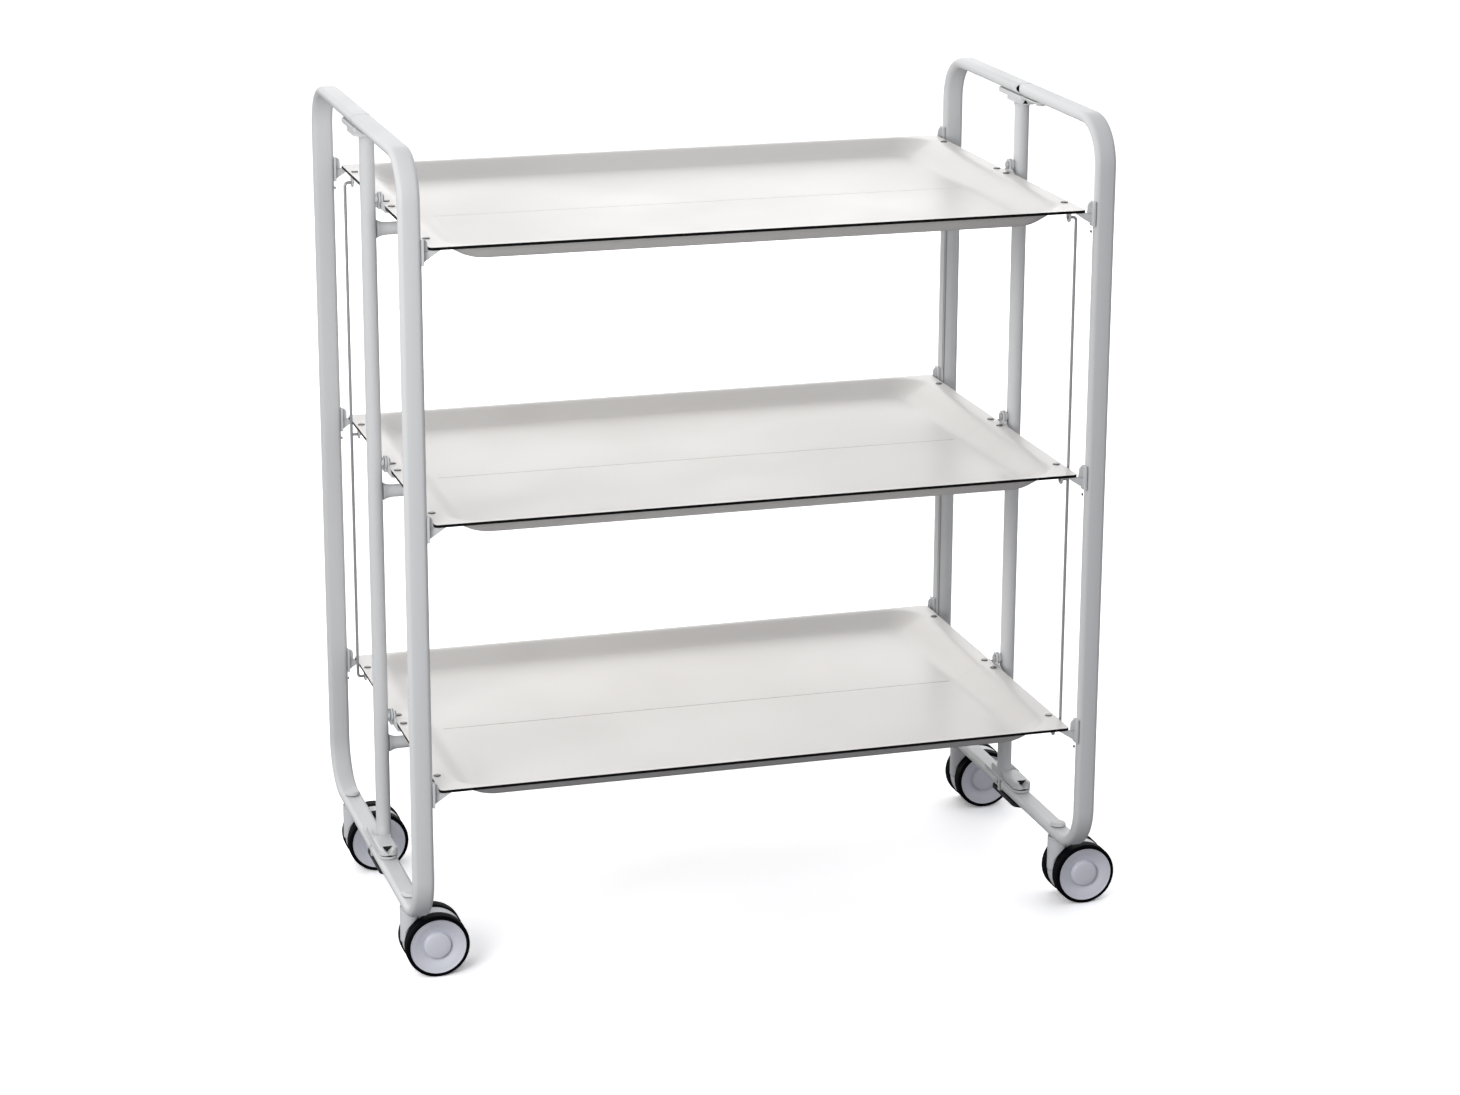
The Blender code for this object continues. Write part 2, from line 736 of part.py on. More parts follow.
def castorWheel():
    # Turned about Z with its outer face up, from the middle of the castor.
    rimRadius = wheelRadius - tyreThick - clearance
    bore = axleRadius + clearance
    boreEnd = housingWeb / 2 + axleReach + axleEndGap
    hub = turned([(0, wheelOuter - hubCone + hubDiscRise), (hubDiscRadius - hubDiscRise, wheelOuter - hubCone
                  + hubDiscRise), (hubDiscRadius, wheelOuter - hubCone), (rimRadius, wheelOuter),
                  (rimRadius, wheelInner), (bore, wheelInner), (bore, boreEnd), (0, boreEnd)], wheelSides)
    inner = rimRadius + clearance
    tyre = turned([(inner, wheelInner), (wheelRadius, wheelInner), (wheelRadius, wheelOuter - tyreEdge),
                   (wheelRadius - tyreEdge, wheelOuter), (inner, wheelOuter)], wheelSides)
    return hub, tyre


stemPiece = castorStem()
housingPiece = castorHousing()
hubPiece, tyrePiece = castorWheel()
for side, sideY in sides.items():
    for end, sideX in ends.items():
        corner = side + "_" + end
        axis = Vector((sideX * railX, sideY * castorY, 0))
        finish("castor_stem_" + corner, moved(stemPiece, Matrix.Translation(axis)),
               "frame_" + corner, "white_enamel")
        body("castor_" + corner, axis)
        finish("castor_housing_" + corner, moved(housingPiece, Matrix.Translation(axis)),
               "castor_" + corner, "white_plastic")
        axle = axis + Vector((castorTrail, 0, wheelRadius))
        for wheelSide, facing in (("outer", sideY), ("inner", -sideY)):
            label = "wheel_" + corner + "_" + wheelSide
            body(label, axle)
            # The wheel's turned axis lies along Y, its outer face pointing away from the castor's middle.
            place = Matrix.Translation(axle) @ Matrix.Rotation(math.radians(-90 * facing), 4, "X")
            finish("castor_hub_" + corner + "_" + wheelSide, moved(hubPiece, place), label, "hub_plastic", 35)
            finish("castor_tyre_" + corner + "_" + wheelSide, moved(tyrePiece, place), label, "black_rubber", 35)
clearWorking()
print("castors done")
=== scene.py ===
import math

import bmesh
import bpy
from mathutils import Matrix, Vector


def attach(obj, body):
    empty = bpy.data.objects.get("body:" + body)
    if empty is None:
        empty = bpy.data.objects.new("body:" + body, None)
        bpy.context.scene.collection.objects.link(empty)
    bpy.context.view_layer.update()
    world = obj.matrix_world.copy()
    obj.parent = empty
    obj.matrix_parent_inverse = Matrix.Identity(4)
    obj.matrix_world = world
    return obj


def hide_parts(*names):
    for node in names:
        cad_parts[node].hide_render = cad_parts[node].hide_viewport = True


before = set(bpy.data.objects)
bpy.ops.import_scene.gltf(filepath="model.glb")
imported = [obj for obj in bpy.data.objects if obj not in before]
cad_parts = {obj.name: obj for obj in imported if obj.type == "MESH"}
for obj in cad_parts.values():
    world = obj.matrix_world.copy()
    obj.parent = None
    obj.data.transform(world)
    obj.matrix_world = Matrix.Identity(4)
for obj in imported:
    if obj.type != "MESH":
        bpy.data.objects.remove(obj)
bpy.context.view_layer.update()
bpy.ops.object.select_all(action="DESELECT")

# The trolley's own places, in metres. Its middle lies a little to -X, because the castors trail to +X.
trolley = {
    "middleX": -0.02085, "railX": 0.3213, "postY": 0.200, "centrePostX": 0.3175, "castorY": 0.1377, "pivotY": 0.038,
    "trayLength": 0.608, "trayDepth": 0.402,
    "rimLevels": {"top": 0.697, "middle": 0.4482, "bottom": 0.1994},
}
ends = {"left": -1, "right": 1}
sides = {"front": -1, "rear": 1}
print("frame loaded")


# Finishes: shared effects are groups, and each material sets its own values

effects = {
    "grainDetail": 3, "bumpStrength": 0.6, "driftDetail": 4, "driftRoughness": 0.55,
    "edgeHighlightSamples": 4, "patchScale": 90, "patchDetail": 4, "paintedShadeSamples": 6,
    "driftRange": (0.3, 0.7), "speckleRange": (0.58, 0.74),
}


def feed(tree, node, inputs):
    # Each input gets a fixed value or another node's output
    for label, value in inputs.items():
        if isinstance(value, bpy.types.NodeSocket):
            tree.links.new(value, node.inputs[label])
        else:
            node.inputs[label].default_value = value


def addNode(tree, kind, inputs, **settings):
    node = tree.nodes.new("ShaderNode" + kind)
    for setting, value in settings.items():
        setattr(node, setting, value)
    feed(tree, node, inputs)
    return node


def multiplied(tree, first, second, clamp=False):
    return addNode(tree, "Math", {0: first, 1: second}, operation="MULTIPLY", use_clamp=clamp).outputs["Value"]


def blended(tree, share, first, second):
    return addNode(tree, "Mix", {"Factor": share, 6: first, 7: second}, data_type="RGBA").outputs[2]


def ranged(tree, value, source, target=(0, 1), kind="LINEAR"):
    # Stretches the source range of a value to the target range
    limits = {"From Min": source[0], "From Max": source[1], "To Min": target[0], "To Max": target[1]}
    return addNode(tree, "MapRange", {"Value": value, **limits}, interpolation_type=kind).outputs["Result"]


def newGroup(name, inputs, outputs):
    group = bpy.data.node_groups.new(name, "ShaderNodeTree")
    for label, value in inputs.items():
        socket = group.interface.new_socket(name=label, in_out="INPUT", socket_type="NodeSocketFloat")
        socket.default_value = value
    for label, kind in outputs.items():
        group.interface.new_socket(name=label, in_out="OUTPUT", socket_type=kind)
    return group, group.nodes.new("NodeGroupInput"), group.nodes.new("NodeGroupOutput")


def makeGrain():
    # Fine bumps for the Normal, and a slow drift for colour and gloss
    group, start, end = newGroup("surfaceGrain", {"Grain Scale": 600, "Grain Height": 0.0001, "Drift Scale": 8}, {
        "Normal": "NodeSocketVector", "Drift": "NodeSocketFloat", "Speckle": "NodeSocketFloat"})
    place = addNode(group, "TexCoord", {}).outputs["Object"]
    grain = addNode(group, "TexNoise", {"Vector": place, "Scale": start.outputs["Grain Scale"],
                                        "Detail": effects["grainDetail"]})
    drift = addNode(group, "TexNoise", {"Vector": place, "Scale": start.outputs["Drift Scale"],
                                        "Detail": effects["driftDetail"], "Roughness": effects["driftRoughness"]})
    bump = addNode(group, "Bump", {"Height": grain.outputs["Fac"], "Distance": start.outputs["Grain Height"],
                                   "Strength": effects["bumpStrength"]})
    feed(group, end, {"Normal": bump.outputs["Normal"], "Drift": drift.outputs["Fac"],
                      "Speckle": grain.outputs["Fac"]})
    return group


def makePaintedEdgeHighlight():
    # Painted highlight: a mask along edges, broken up by noise, where the colour is lightened as if the edges caught
    # the light
    group, start, end = newGroup("paintedEdgeHighlight", {"Width": 0.0008, "Amount": 2.0}, {"Mask": "NodeSocketFloat"})
    rounded = addNode(group, "Bevel", {"Radius": start.outputs["Width"]}, samples=effects["edgeHighlightSamples"])
    surface = addNode(group, "NewGeometry", {})
    match = addNode(group, "VectorMath", {0: rounded.outputs["Normal"], 1: surface.outputs["Normal"]},
                    operation="DOT_PRODUCT")
    differs = addNode(group, "Math", {0: 1.0, 1: match.outputs["Value"]}, operation="SUBTRACT")
    place = addNode(group, "TexCoord", {}).outputs["Object"]
    patches = addNode(group, "TexNoise", {"Vector": place, "Scale": effects["patchScale"],
                                          "Detail": effects["patchDetail"]})
    broken = multiplied(group, differs.outputs["Value"], patches.outputs["Fac"])
    feed(group, end, {"Mask": multiplied(group, broken, start.outputs["Amount"], clamp=True)})
    return group


def makePaintedCreviceShade():
    # Painted shade: an ambient-occlusion mask in joints and corners, where the colour is darkened as shade falls
    # there
    group, start, end = newGroup("paintedCreviceShade", {"Reach": 0.006, "Amount": 1.0}, {"Mask": "NodeSocketFloat"})
    clear = addNode(group, "AmbientOcclusion", {"Distance": start.outputs["Reach"]},
                    samples=effects["paintedShadeSamples"])
    closed = addNode(group, "Math", {0: 1.0, 1: clear.outputs["AO"]}, operation="SUBTRACT")
    mask = multiplied(group, closed.outputs["Value"], start.outputs["Amount"], clamp=True)
    feed(group, end, {"Mask": mask})
    return group


grainGroup = makeGrain()
edgeHighlightGroup = makePaintedEdgeHighlight()
paintedShadeGroup = makePaintedCreviceShade()


def makeFinish(name, finish):
    material = bpy.data.materials.new(name)
    material.use_nodes = True
    tree = material.node_tree
    grain = addNode(tree, "Group", node_tree=grainGroup, inputs={
        "Grain Scale": finish["grainScale"], "Grain Height": finish["grainHeight"],
        "Drift Scale": finish["driftScale"]})
    edgeHighlight = addNode(tree, "Group", node_tree=edgeHighlightGroup, inputs={
        "Width": finish["edgeHighlightWidth"], "Amount": finish["edgeHighlightAmount"]})
    paintedShade = addNode(tree, "Group", node_tree=paintedShadeGroup, inputs={
        "Reach": finish["paintedShadeReach"], "Amount": finish["paintedShadeAmount"]})
    colour = blended(tree, grain.outputs["Drift"], finish["colour"], finish["driftColour"])
    if "speckleColour" in finish:
        dots = ranged(tree, grain.outputs["Speckle"], effects["speckleRange"], (0, finish["speckleAmount"]))
        colour = blended(tree, dots, colour, finish["speckleColour"])
    # Painted highlight: edges blend toward a lighter colour
    colour = blended(tree, edgeHighlight.outputs["Mask"], colour, finish["edgeHighlightColour"])
    # Painted shade: joints and corners blend toward a darker colour
    colour = blended(tree, paintedShade.outputs["Mask"], colour, finish["paintedShadeColour"])
    gloss = ranged(tree, grain.outputs["Drift"], effects["driftRange"], finish["roughness"])
    feed(tree, tree.nodes["Principled BSDF"], {
        "Metallic": finish.get("metallic", 0.0), "Specular IOR Level": finish.get("specular", 0.5),
        "Base Color": colour, "Roughness": gloss, "Normal": grain.outputs["Normal"]})
    return material


finishes = {
    "powderCoat": {
        "colour": (0.76, 0.77, 0.772, 1), "driftColour": (0.735, 0.747, 0.752, 1),
        "edgeHighlightColour": (0.90, 0.905, 0.905, 1), "paintedShadeColour": (0.42, 0.43, 0.44, 1),
        "roughness": (0.40, 0.52), "grainScale": 900, "grainHeight": 0.00006, "driftScale": 9,
        "edgeHighlightWidth": 0.0008, "edgeHighlightAmount": 2.2, "paintedShadeReach": 0.006, "paintedShadeAmount": 0.55, "specular": 0.28,
    },
    "trayLaminate": {
        "colour": (0.77, 0.75, 0.725, 1), "driftColour": (0.75, 0.732, 0.712, 1),
        "speckleColour": (0.76, 0.735, 0.71, 1), "speckleAmount": 0.35,
        "edgeHighlightColour": (0.93, 0.925, 0.915, 1), "paintedShadeColour": (0.62, 0.61, 0.62, 1),
        "roughness": (0.34, 0.44), "grainScale": 420, "grainHeight": 0.00005, "driftScale": 6,
        "edgeHighlightWidth": 0.0006, "edgeHighlightAmount": 1.6, "paintedShadeReach": 0.008, "paintedShadeAmount": 0.35, "specular": 0.45,
    },
    "trayCore": {
        "colour": (0.002, 0.002, 0.002, 1), "driftColour": (0.005, 0.005, 0.005, 1),
        "edgeHighlightColour": (0.012, 0.012, 0.012, 1), "paintedShadeColour": (0.001, 0.001, 0.001, 1),
        "roughness": (0.42, 0.58), "grainScale": 1400, "grainHeight": 0.00008, "driftScale": 60,
        "edgeHighlightWidth": 0.0003, "edgeHighlightAmount": 0.3, "paintedShadeReach": 0.003, "paintedShadeAmount": 0.5, "specular": 0.12,
    },
    "castorPlastic": {
        "colour": (0.80, 0.81, 0.83, 1), "driftColour": (0.77, 0.78, 0.81, 1),
        "edgeHighlightColour": (0.88, 0.885, 0.90, 1), "paintedShadeColour": (0.34, 0.35, 0.38, 1),
        "roughness": (0.34, 0.46), "grainScale": 1100, "grainHeight": 0.00004, "driftScale": 20,
        "edgeHighlightWidth": 0.0006, "edgeHighlightAmount": 1.4, "paintedShadeReach": 0.005, "paintedShadeAmount": 0.6, "specular": 0.5,
    },
    "hubPlastic": {
        "colour": (0.84, 0.85, 0.92, 1), "driftColour": (0.81, 0.82, 0.89, 1),
        "edgeHighlightColour": (0.90, 0.91, 0.95, 1), "paintedShadeColour": (0.40, 0.41, 0.47, 1),
        "roughness": (0.36, 0.48), "grainScale": 1200, "grainHeight": 0.00004, "driftScale": 24,
        "edgeHighlightWidth": 0.0006, "edgeHighlightAmount": 1.6, "paintedShadeReach": 0.004, "paintedShadeAmount": 0.5, "specular": 0.5,
    },
    "tyreRubber": {
        "colour": (0.0015, 0.0015, 0.003, 1), "driftColour": (0.003, 0.003, 0.005, 1),
        "edgeHighlightColour": (0.014, 0.014, 0.017, 1), "paintedShadeColour": (0.004, 0.004, 0.005, 1),
        "roughness": (0.58, 0.74), "grainScale": 1500, "grainHeight": 0.00012, "driftScale": 45,
        "edgeHighlightWidth": 0.0006, "edgeHighlightAmount": 0.6, "paintedShadeReach": 0.004, "paintedShadeAmount": 0.4, "specular": 0.06,
    },
    "rivetNickel": {
        "colour": (0.17, 0.17, 0.165, 1), "driftColour": (0.12, 0.12, 0.12, 1),
        "edgeHighlightColour": (0.42, 0.42, 0.41, 1), "paintedShadeColour": (0.04, 0.04, 0.04, 1),
        "roughness": (0.30, 0.46), "grainScale": 1600, "grainHeight": 0.00005, "driftScale": 120,
        "edgeHighlightWidth": 0.0004, "edgeHighlightAmount": 1.6, "paintedShadeReach": 0.002, "paintedShadeAmount": 0.6, "metallic": 0.9,
    },
    "wireZinc": {
        "colour": (0.52, 0.525, 0.53, 1), "driftColour": (0.44, 0.445, 0.45, 1),
        "edgeHighlightColour": (0.70, 0.705, 0.71, 1), "paintedShadeColour": (0.20, 0.20, 0.20, 1),
        "roughness": (0.30, 0.44), "grainScale": 1500, "grainHeight": 0.00004, "driftScale": 90,
        "edgeHighlightWidth": 0.0003, "edgeHighlightAmount": 1.2, "paintedShadeReach": 0.002, "paintedShadeAmount": 0.6, "metallic": 0.55,
    },
    "bareSteel": {
        "colour": (0.020, 0.020, 0.023, 1), "driftColour": (0.034, 0.033, 0.036, 1),
        "edgeHighlightColour": (0.16, 0.16, 0.165, 1), "paintedShadeColour": (0.004, 0.004, 0.004, 1),
        "roughness": (0.40, 0.58), "grainScale": 1300, "grainHeight": 0.00006, "driftScale": 60,
        "edgeHighlightWidth": 0.0004, "edgeHighlightAmount": 1.0, "paintedShadeReach": 0.003, "paintedShadeAmount": 0.7, "metallic": 0.5,
    },
}
materials = {name: makeFinish(name, finish) for name, finish in finishes.items()}
print("finishes made")


# Tools that many pieces use; every shape is made for the right rear corner, in the trolley's own places

quarterTurn = math.radians(90)
square = 0.9  # an edge or face that runs this much along an axis counts as square to it
near = 0.00001  # points this close to a line count as on it
sliver = 0.0001  # kept between two rounds, and enough to tell two edges apart


def only(piece):
    bpy.ops.object.select_all(action="DESELECT")
    piece.select_set(True)
    bpy.context.view_layer.objects.active = piece


def edit(piece, action="DESELECT"):
    only(piece)
    bpy.ops.object.mode_set(mode="EDIT")
    bpy.ops.mesh.select_all(action=action)


def leaveEdit():
    bpy.ops.object.mode_set(mode="OBJECT")


def pick(kind, test):
    # Selects the points, edges or faces that pass the test, by their middle and normal
    bpy.ops.mesh.select_mode(type=kind)
    bpy.ops.mesh.select_all(action="DESELECT")
    mesh = bpy.context.object.data
    shape = bmesh.from_edit_mesh(mesh)
    for element in {"VERT": shape.verts, "EDGE": shape.edges, "FACE": shape.faces}[kind]:
        if kind == "VERT":
            chosen = test(element.co)
        elif kind == "EDGE":
            chosen = test((element.verts[0].co + element.verts[1].co) / 2,
                          element.verts[1].co - element.verts[0].co, len(element.link_faces))
        else:
            chosen = test(element.calc_center_median(), element.normal)
        element.select_set(chosen)
    bmesh.update_edit_mesh(mesh)


def extrude(x, y, z):
    bpy.ops.mesh.extrude_region_move(TRANSFORM_OT_translate={"value": (x, y, z)})


def widen(x, reach):
    # Pulls the two halves of a round apart along X, which leaves flats between them
    for side in (-1, 1):
        pick("VERT", lambda point: (point.x - x) * side > near)
        bpy.ops.transform.translate(value=(side * reach, 0, 0))


def coat(piece, finish):
    piece.data.materials.clear()
    piece.data.materials.append(materials[finish])
    return piece


def recoated(piece, finishIndex, test):
    # Gives the faces that pass the test another of the piece's finishes
    edit(piece)
    pick("FACE", test)
    piece.active_material_index = finishIndex
    bpy.ops.object.material_slot_assign()
    leaveEdit()
    return piece


def settle(piece):
    # Puts a primitive's place, turn and scale into its mesh
    only(piece)
    bpy.ops.object.transform_apply(location=True, rotation=True, scale=True)


def applied(piece, kind, **settings):
    only(piece)
    change = piece.modifiers.new(kind.lower(), kind)
    for setting, value in settings.items():
        setattr(change, setting, value)
    bpy.ops.object.modifier_apply(modifier=change.name)
    return piece


def soften(piece, width, segments=2, angle=35):
    return applied(piece, "BEVEL", width=width, segments=segments, limit_method="ANGLE",
                   angle_limit=math.radians(angle))


def cutAway(piece, *cutters):
    for cutter in cutters:
        applied(piece, "BOOLEAN", operation="DIFFERENCE", solver="EXACT", material_mode="TRANSFER",
                object=cutter)
        bpy.data.objects.remove(cutter)
    return piece


def slab(low, high, finish="powderCoat"):
    low, high = Vector(low), Vector(high)
    bpy.ops.mesh.primitive_cube_add(size=1, location=(low + high) / 2, scale=high - low)
    settle(bpy.context.object)
    return coat(bpy.context.object, finish)


def slabAcross(x, half, low, high, finish="powderCoat"):
    # A slab with its middle at x; its low and high corners are given as (y, z)
    return slab((x - half, *low), (x + half, *high), finish)


def bar(start, end, radius, count=32, finish="powderCoat"):
    start, end = Vector(start), Vector(end)
    turn = (end - start).to_track_quat("Z", "Y").to_euler()
    bpy.ops.mesh.primitive_cone_add(vertices=count, radius1=radius, radius2=radius, depth=(end - start).length,
                                    location=(start + end) / 2, rotation=turn)
    settle(bpy.context.object)
    return coat(bpy.context.object, finish)


def uprightBar(place, low, high, radius, count=32, finish="powderCoat"):
    # A bar along Z; its place is given as (x, y)
    return bar((*place, low), (*place, high), radius, count, finish)


def levelBar(place, start, end, radius, count=32, finish="powderCoat"):
    # A bar along X; its place is given as (y, z)
    return bar((start, *place), (end, *place), radius, count, finish)


def ovalBar(start, end, halfWide, halfThick, count, finish):
    # A bar along Y with flat top and bottom and round sides
    piece = bar(start, end, halfThick, count, finish)
    edit(piece)
    widen(start[0], halfWide - halfThick)
    leaveEdit()
    return piece


def rounded(piece, offset, test, segments):
    edit(piece)
    pick("EDGE", test)
    bpy.ops.mesh.bevel(offset=offset, segments=segments, affect="EDGES")
    leaveEdit()
    return piece


def button(start, end, radius, dome, count=24, finish="rivetNickel"):
    # A rivet or cap: its far edge is rounded over
    far, along = Vector(end), (Vector(end) - Vector(start)).normalized()
    return rounded(bar(start, end, radius, count, finish), dome,
                   lambda middle, run, faces: abs((middle - far).dot(along)) < near, segments=4)


def roundUpright(piece, radius, test=lambda middle: True, segments=8):
    # Rounds a slab's upright edges, seen from above
    return rounded(piece, radius, lambda middle, run, faces: abs(run.z) > square * run.length and test(middle),
                   segments)


def slicedAt(piece, point, normal):
    edit(piece, "SELECT")
    bpy.ops.mesh.bisect(plane_co=point, plane_no=normal, clear_outer=True, use_fill=True)
    leaveEdit()
    return piece


def joined(*parts):
    bpy.ops.object.select_all(action="DESELECT")
    for part in parts:
        part.select_set(True)
    bpy.context.view_layer.objects.active = parts[0]
    bpy.ops.object.join()
    return parts[0]


def faceOut(piece):
    edit(piece, "SELECT")
    bpy.ops.mesh.normals_make_consistent(inside=False)
    leaveEdit()


def smoothed(piece, degrees=20):
    edit(piece, "SELECT")
    bpy.ops.mesh.remove_doubles(threshold=0.000002)
    leaveEdit()
    faceOut(piece)
    bpy.ops.object.shade_smooth_by_angle(angle=math.radians(degrees))
    return piece


def placed(model, name, body, node, sideX=1, sideY=1, shift=(0, 0, 0)):
    # A copy with its own mesh, mirrored to its corner, that rides on a body and stands for a node
    only(model)
    bpy.ops.object.duplicate(linked=False)
    piece = bpy.context.object
    piece.scale = (sideX, sideY, 1)
    piece.location = Vector(shift) + Vector((trolley["middleX"], 0, 0))
    settle(piece)
    faceOut(piece)
    piece.name = piece.data.name = name
    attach(piece, body)
    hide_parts(node)
    return piece


def cleared(*models):
    for model in models:
        bpy.data.objects.remove(model)


# Centre posts with their riveted tray pins

centrePost = {
    "radius": 0.007, "low": 0.0806, "high": 0.7605,
    "pinRise": 0.0055, "pinRadius": 0.0025, "shoulderRadius": 0.004, "shoulderStart": 0.3125, "shoulderEnd": 0.309,
    "headRadius": 0.004, "headStart": 0.3043, "headEnd": 0.3029, "headDome": 0.0009,
}


def makeCentrePost():
    sizes = centrePost
    shoulder, head = sizes["shoulderEnd"], sizes["headStart"]
    parts = [uprightBar((trolley["centrePostX"], 0), sizes["low"], sizes["high"], sizes["radius"])]
    for level in trolley["rimLevels"].values():
        place = (0, level + sizes["pinRise"])
        parts.append(levelBar(place, sizes["shoulderStart"], shoulder, sizes["shoulderRadius"], count=24))
        parts.append(levelBar(place, shoulder, head, sizes["pinRadius"], count=16, finish="rivetNickel"))
        parts.append(button((head, *place), (sizes["headEnd"], *place), sizes["headRadius"], sizes["headDome"],
                            finish="wireZinc"))
    return smoothed(joined(*parts))


model = makeCentrePost()
for end, sideX in ends.items():
    placed(model, "postTube_" + end, "ladder", "centre_post_" + end, sideX)
cleared(model)


# Cross bars, flared where they meet the posts

crossBar = {
    "radius": 0.006, "reach": 0.3102, "underRim": 0.0227, "smoothAngle": 30,
    # How far out, and how much wider
    "flare": [(0.003, 1.03), (0.003, 1.08), (0.002, 1.12), (0.0012, 1.10), (0.0006, 1.02)],
}


def makeCrossBar():
    straight = crossBar["reach"] - sum(step for step, growth in crossBar["flare"])
    piece = levelBar((0, 0), -straight, straight, crossBar["radius"])
    edit(piece)
    for side in (-1, 1):
        pick("FACE", lambda middle, normal: normal.x * side > square)
        reach = straight
        for step, growth in crossBar["flare"]:
            reach += step
            extrude(side * step, 0, 0)
            bpy.ops.transform.resize(value=(1, growth, growth), center_override=(side * reach, 0, 0))
    leaveEdit()
    return smoothed(piece, crossBar["smoothAngle"])


model = makeCrossBar()
for level, rim in trolley["rimLevels"].items():
    placed(model, "crossTube_" + level, "ladder", "cross_bar_" + level,
           shift=(0, 0, rim - crossBar["underRim"]))
cleared(model)


# Head plates: a plate under the top rail, a lug to the rear, and a neck and collar over the post

headPlate = {
    "plateHalf": 0.0078, "front": -0.046, "plateRear": -0.002, "plateTop": 0.7693, "plateUnder": 0.7676,
    "lugHalf": 0.0096, "lugFront": -0.0095, "rear": 0.051, "lugTop": 0.7698, "lugUnder": 0.7652, "lugRound": 0.004,
    "neckHalf": 0.0088, "neckRound": 0.0082, "neckUnder": 0.7612, "neckTop": 0.7657, "neckRear": 0.027,
    "slopeStart": 0.0075, "edge": 0.0005,
    "collarLow": 0.7602, "collarTop": 0.7615, "collarRadius": 0.0083, "collarEdge": 0.0003,
    "notchRadius": 0.0026, "notchZ": 0.7634, "notchDeep": 0.004,
    "shadeRingRadius": 0.0055, "shadeRingLow": 0.7691, "shadeRingTop": 0.7700,
    "rivetRadius": 0.0048, "rivetUnder": 0.7648, "rivetDome": 0.0016,
    "rearRivetRadius": 0.00384, "rearRivetUnder": 0.7638, "rearRivetDome": 0.001,
}


def makeHeadPlate():
    sizes, x, postX, pivotY = headPlate, trolley["railX"], trolley["centrePostX"], trolley["pivotY"]
    plate = slabAcross(x, sizes["plateHalf"], (sizes["front"], sizes["plateUnder"]),
                       (sizes["plateRear"], sizes["plateTop"]))
    roundUpright(plate, sizes["plateHalf"] - sliver, lambda middle: middle.y < sizes["plateRear"] - sliver)
    lug = slabAcross(x, sizes["lugHalf"], (sizes["lugFront"], sizes["lugUnder"]), (sizes["rear"], sizes["lugTop"]))
    roundUpright(lug, sizes["lugRound"], segments=6)
    neck = slabAcross(x, sizes["neckHalf"], (sizes["lugFront"], sizes["neckUnder"]),
                      (sizes["neckRear"], sizes["neckTop"]))
    roundUpright(neck, sizes["neckRound"], lambda middle: middle.y < 0, segments=10)
    # With so short a normal, bisect takes nothing off: the neck keeps its full corner.
    slope = Vector((0, sizes["lugUnder"] - sizes["neckUnder"], sizes["slopeStart"] - sizes["neckRear"]))
    slicedAt(neck, (0, sizes["slopeStart"], sizes["neckUnder"]), slope)
    # The notch's faces take the near-black bareSteel finish: painted shade in the notch.
    cutAway(neck, bar((postX, sizes["lugFront"] - sizes["notchDeep"], sizes["notchZ"]),
                      (postX, sizes["lugFront"] + sizes["notchDeep"], sizes["notchZ"]),
                      sizes["notchRadius"], count=3, finish="bareSteel"))
    collar = uprightBar((postX, 0), sizes["collarLow"], sizes["collarTop"], sizes["collarRadius"], count=40)
    # A thin near-black ring between plate and rail: painted shade for the dark gap there
    paintedShadeRing = uprightBar((x, -pivotY), sizes["shadeRingLow"], sizes["shadeRingTop"], sizes["shadeRingRadius"],
                        count=28, finish="bareSteel")
    rivet = button((x, -pivotY, sizes["plateUnder"]), (x, -pivotY, sizes["rivetUnder"]),
                   sizes["rivetRadius"], sizes["rivetDome"], finish="powderCoat")
    rearRivet = button((x, pivotY, sizes["lugUnder"]), (x, pivotY, sizes["rearRivetUnder"]),
                       sizes["rearRivetRadius"], sizes["rearRivetDome"], finish="powderCoat")
    for part in (plate, lug, neck):
        soften(part, sizes["edge"])
    soften(collar, sizes["collarEdge"])
    return smoothed(joined(plate, lug, neck, collar, paintedShadeRing, rivet, rearRivet))


model = makeHeadPlate()
for end, sideX in ends.items():
    placed(model, "headPivotPlate_" + end, "ladder", "head_plate_" + end, sideX)
cleared(model)


# Foot brackets: a plate over the lower rail, a strap under it, a raised ear in front and the post's socket

footBracket = {
    "half": 0.0092, "front": -0.046, "rear": 0.046, "low": 0.0760, "high": 0.0786, "edge": 0.0005,
    "strapLow": 0.0606, "strapHigh": 0.0642, "strapRear": 0.024,
    "earHalf": 0.0089, "earFront": -0.0455, "earRear": -0.0062, "earLow": 0.0797, "earTop": 0.0864,
    "earRound": 0.0068, "earCrown": 0.0018,
    "hollowX": 0.0004, "hollowRise": 0.0860, "hollowFront": -0.048, "hollowRear": -0.0368, "hollowRadius": 0.0050,
    "wall": 0.0015, "wallFront": -0.010, "wallRear": 0.023, "wallTop": 0.0868, "wallSlope": 0.0056,
    "seatHalf": 0.0085, "seatRear": 0.022, "seatLow": 0.0782, "seatTop": 0.0811,
    "webHalf": 0.0022, "webLow": 0.0640, "webTop": 0.0765,
    "rivetRadius": 0.0048, "rivetLow": 0.0633, "rivetDome": 0.0014,
    "shadeRingRadius": 0.0078, "shadeRingLow": 0.0782, "shadeRingTop": 0.0801,
}


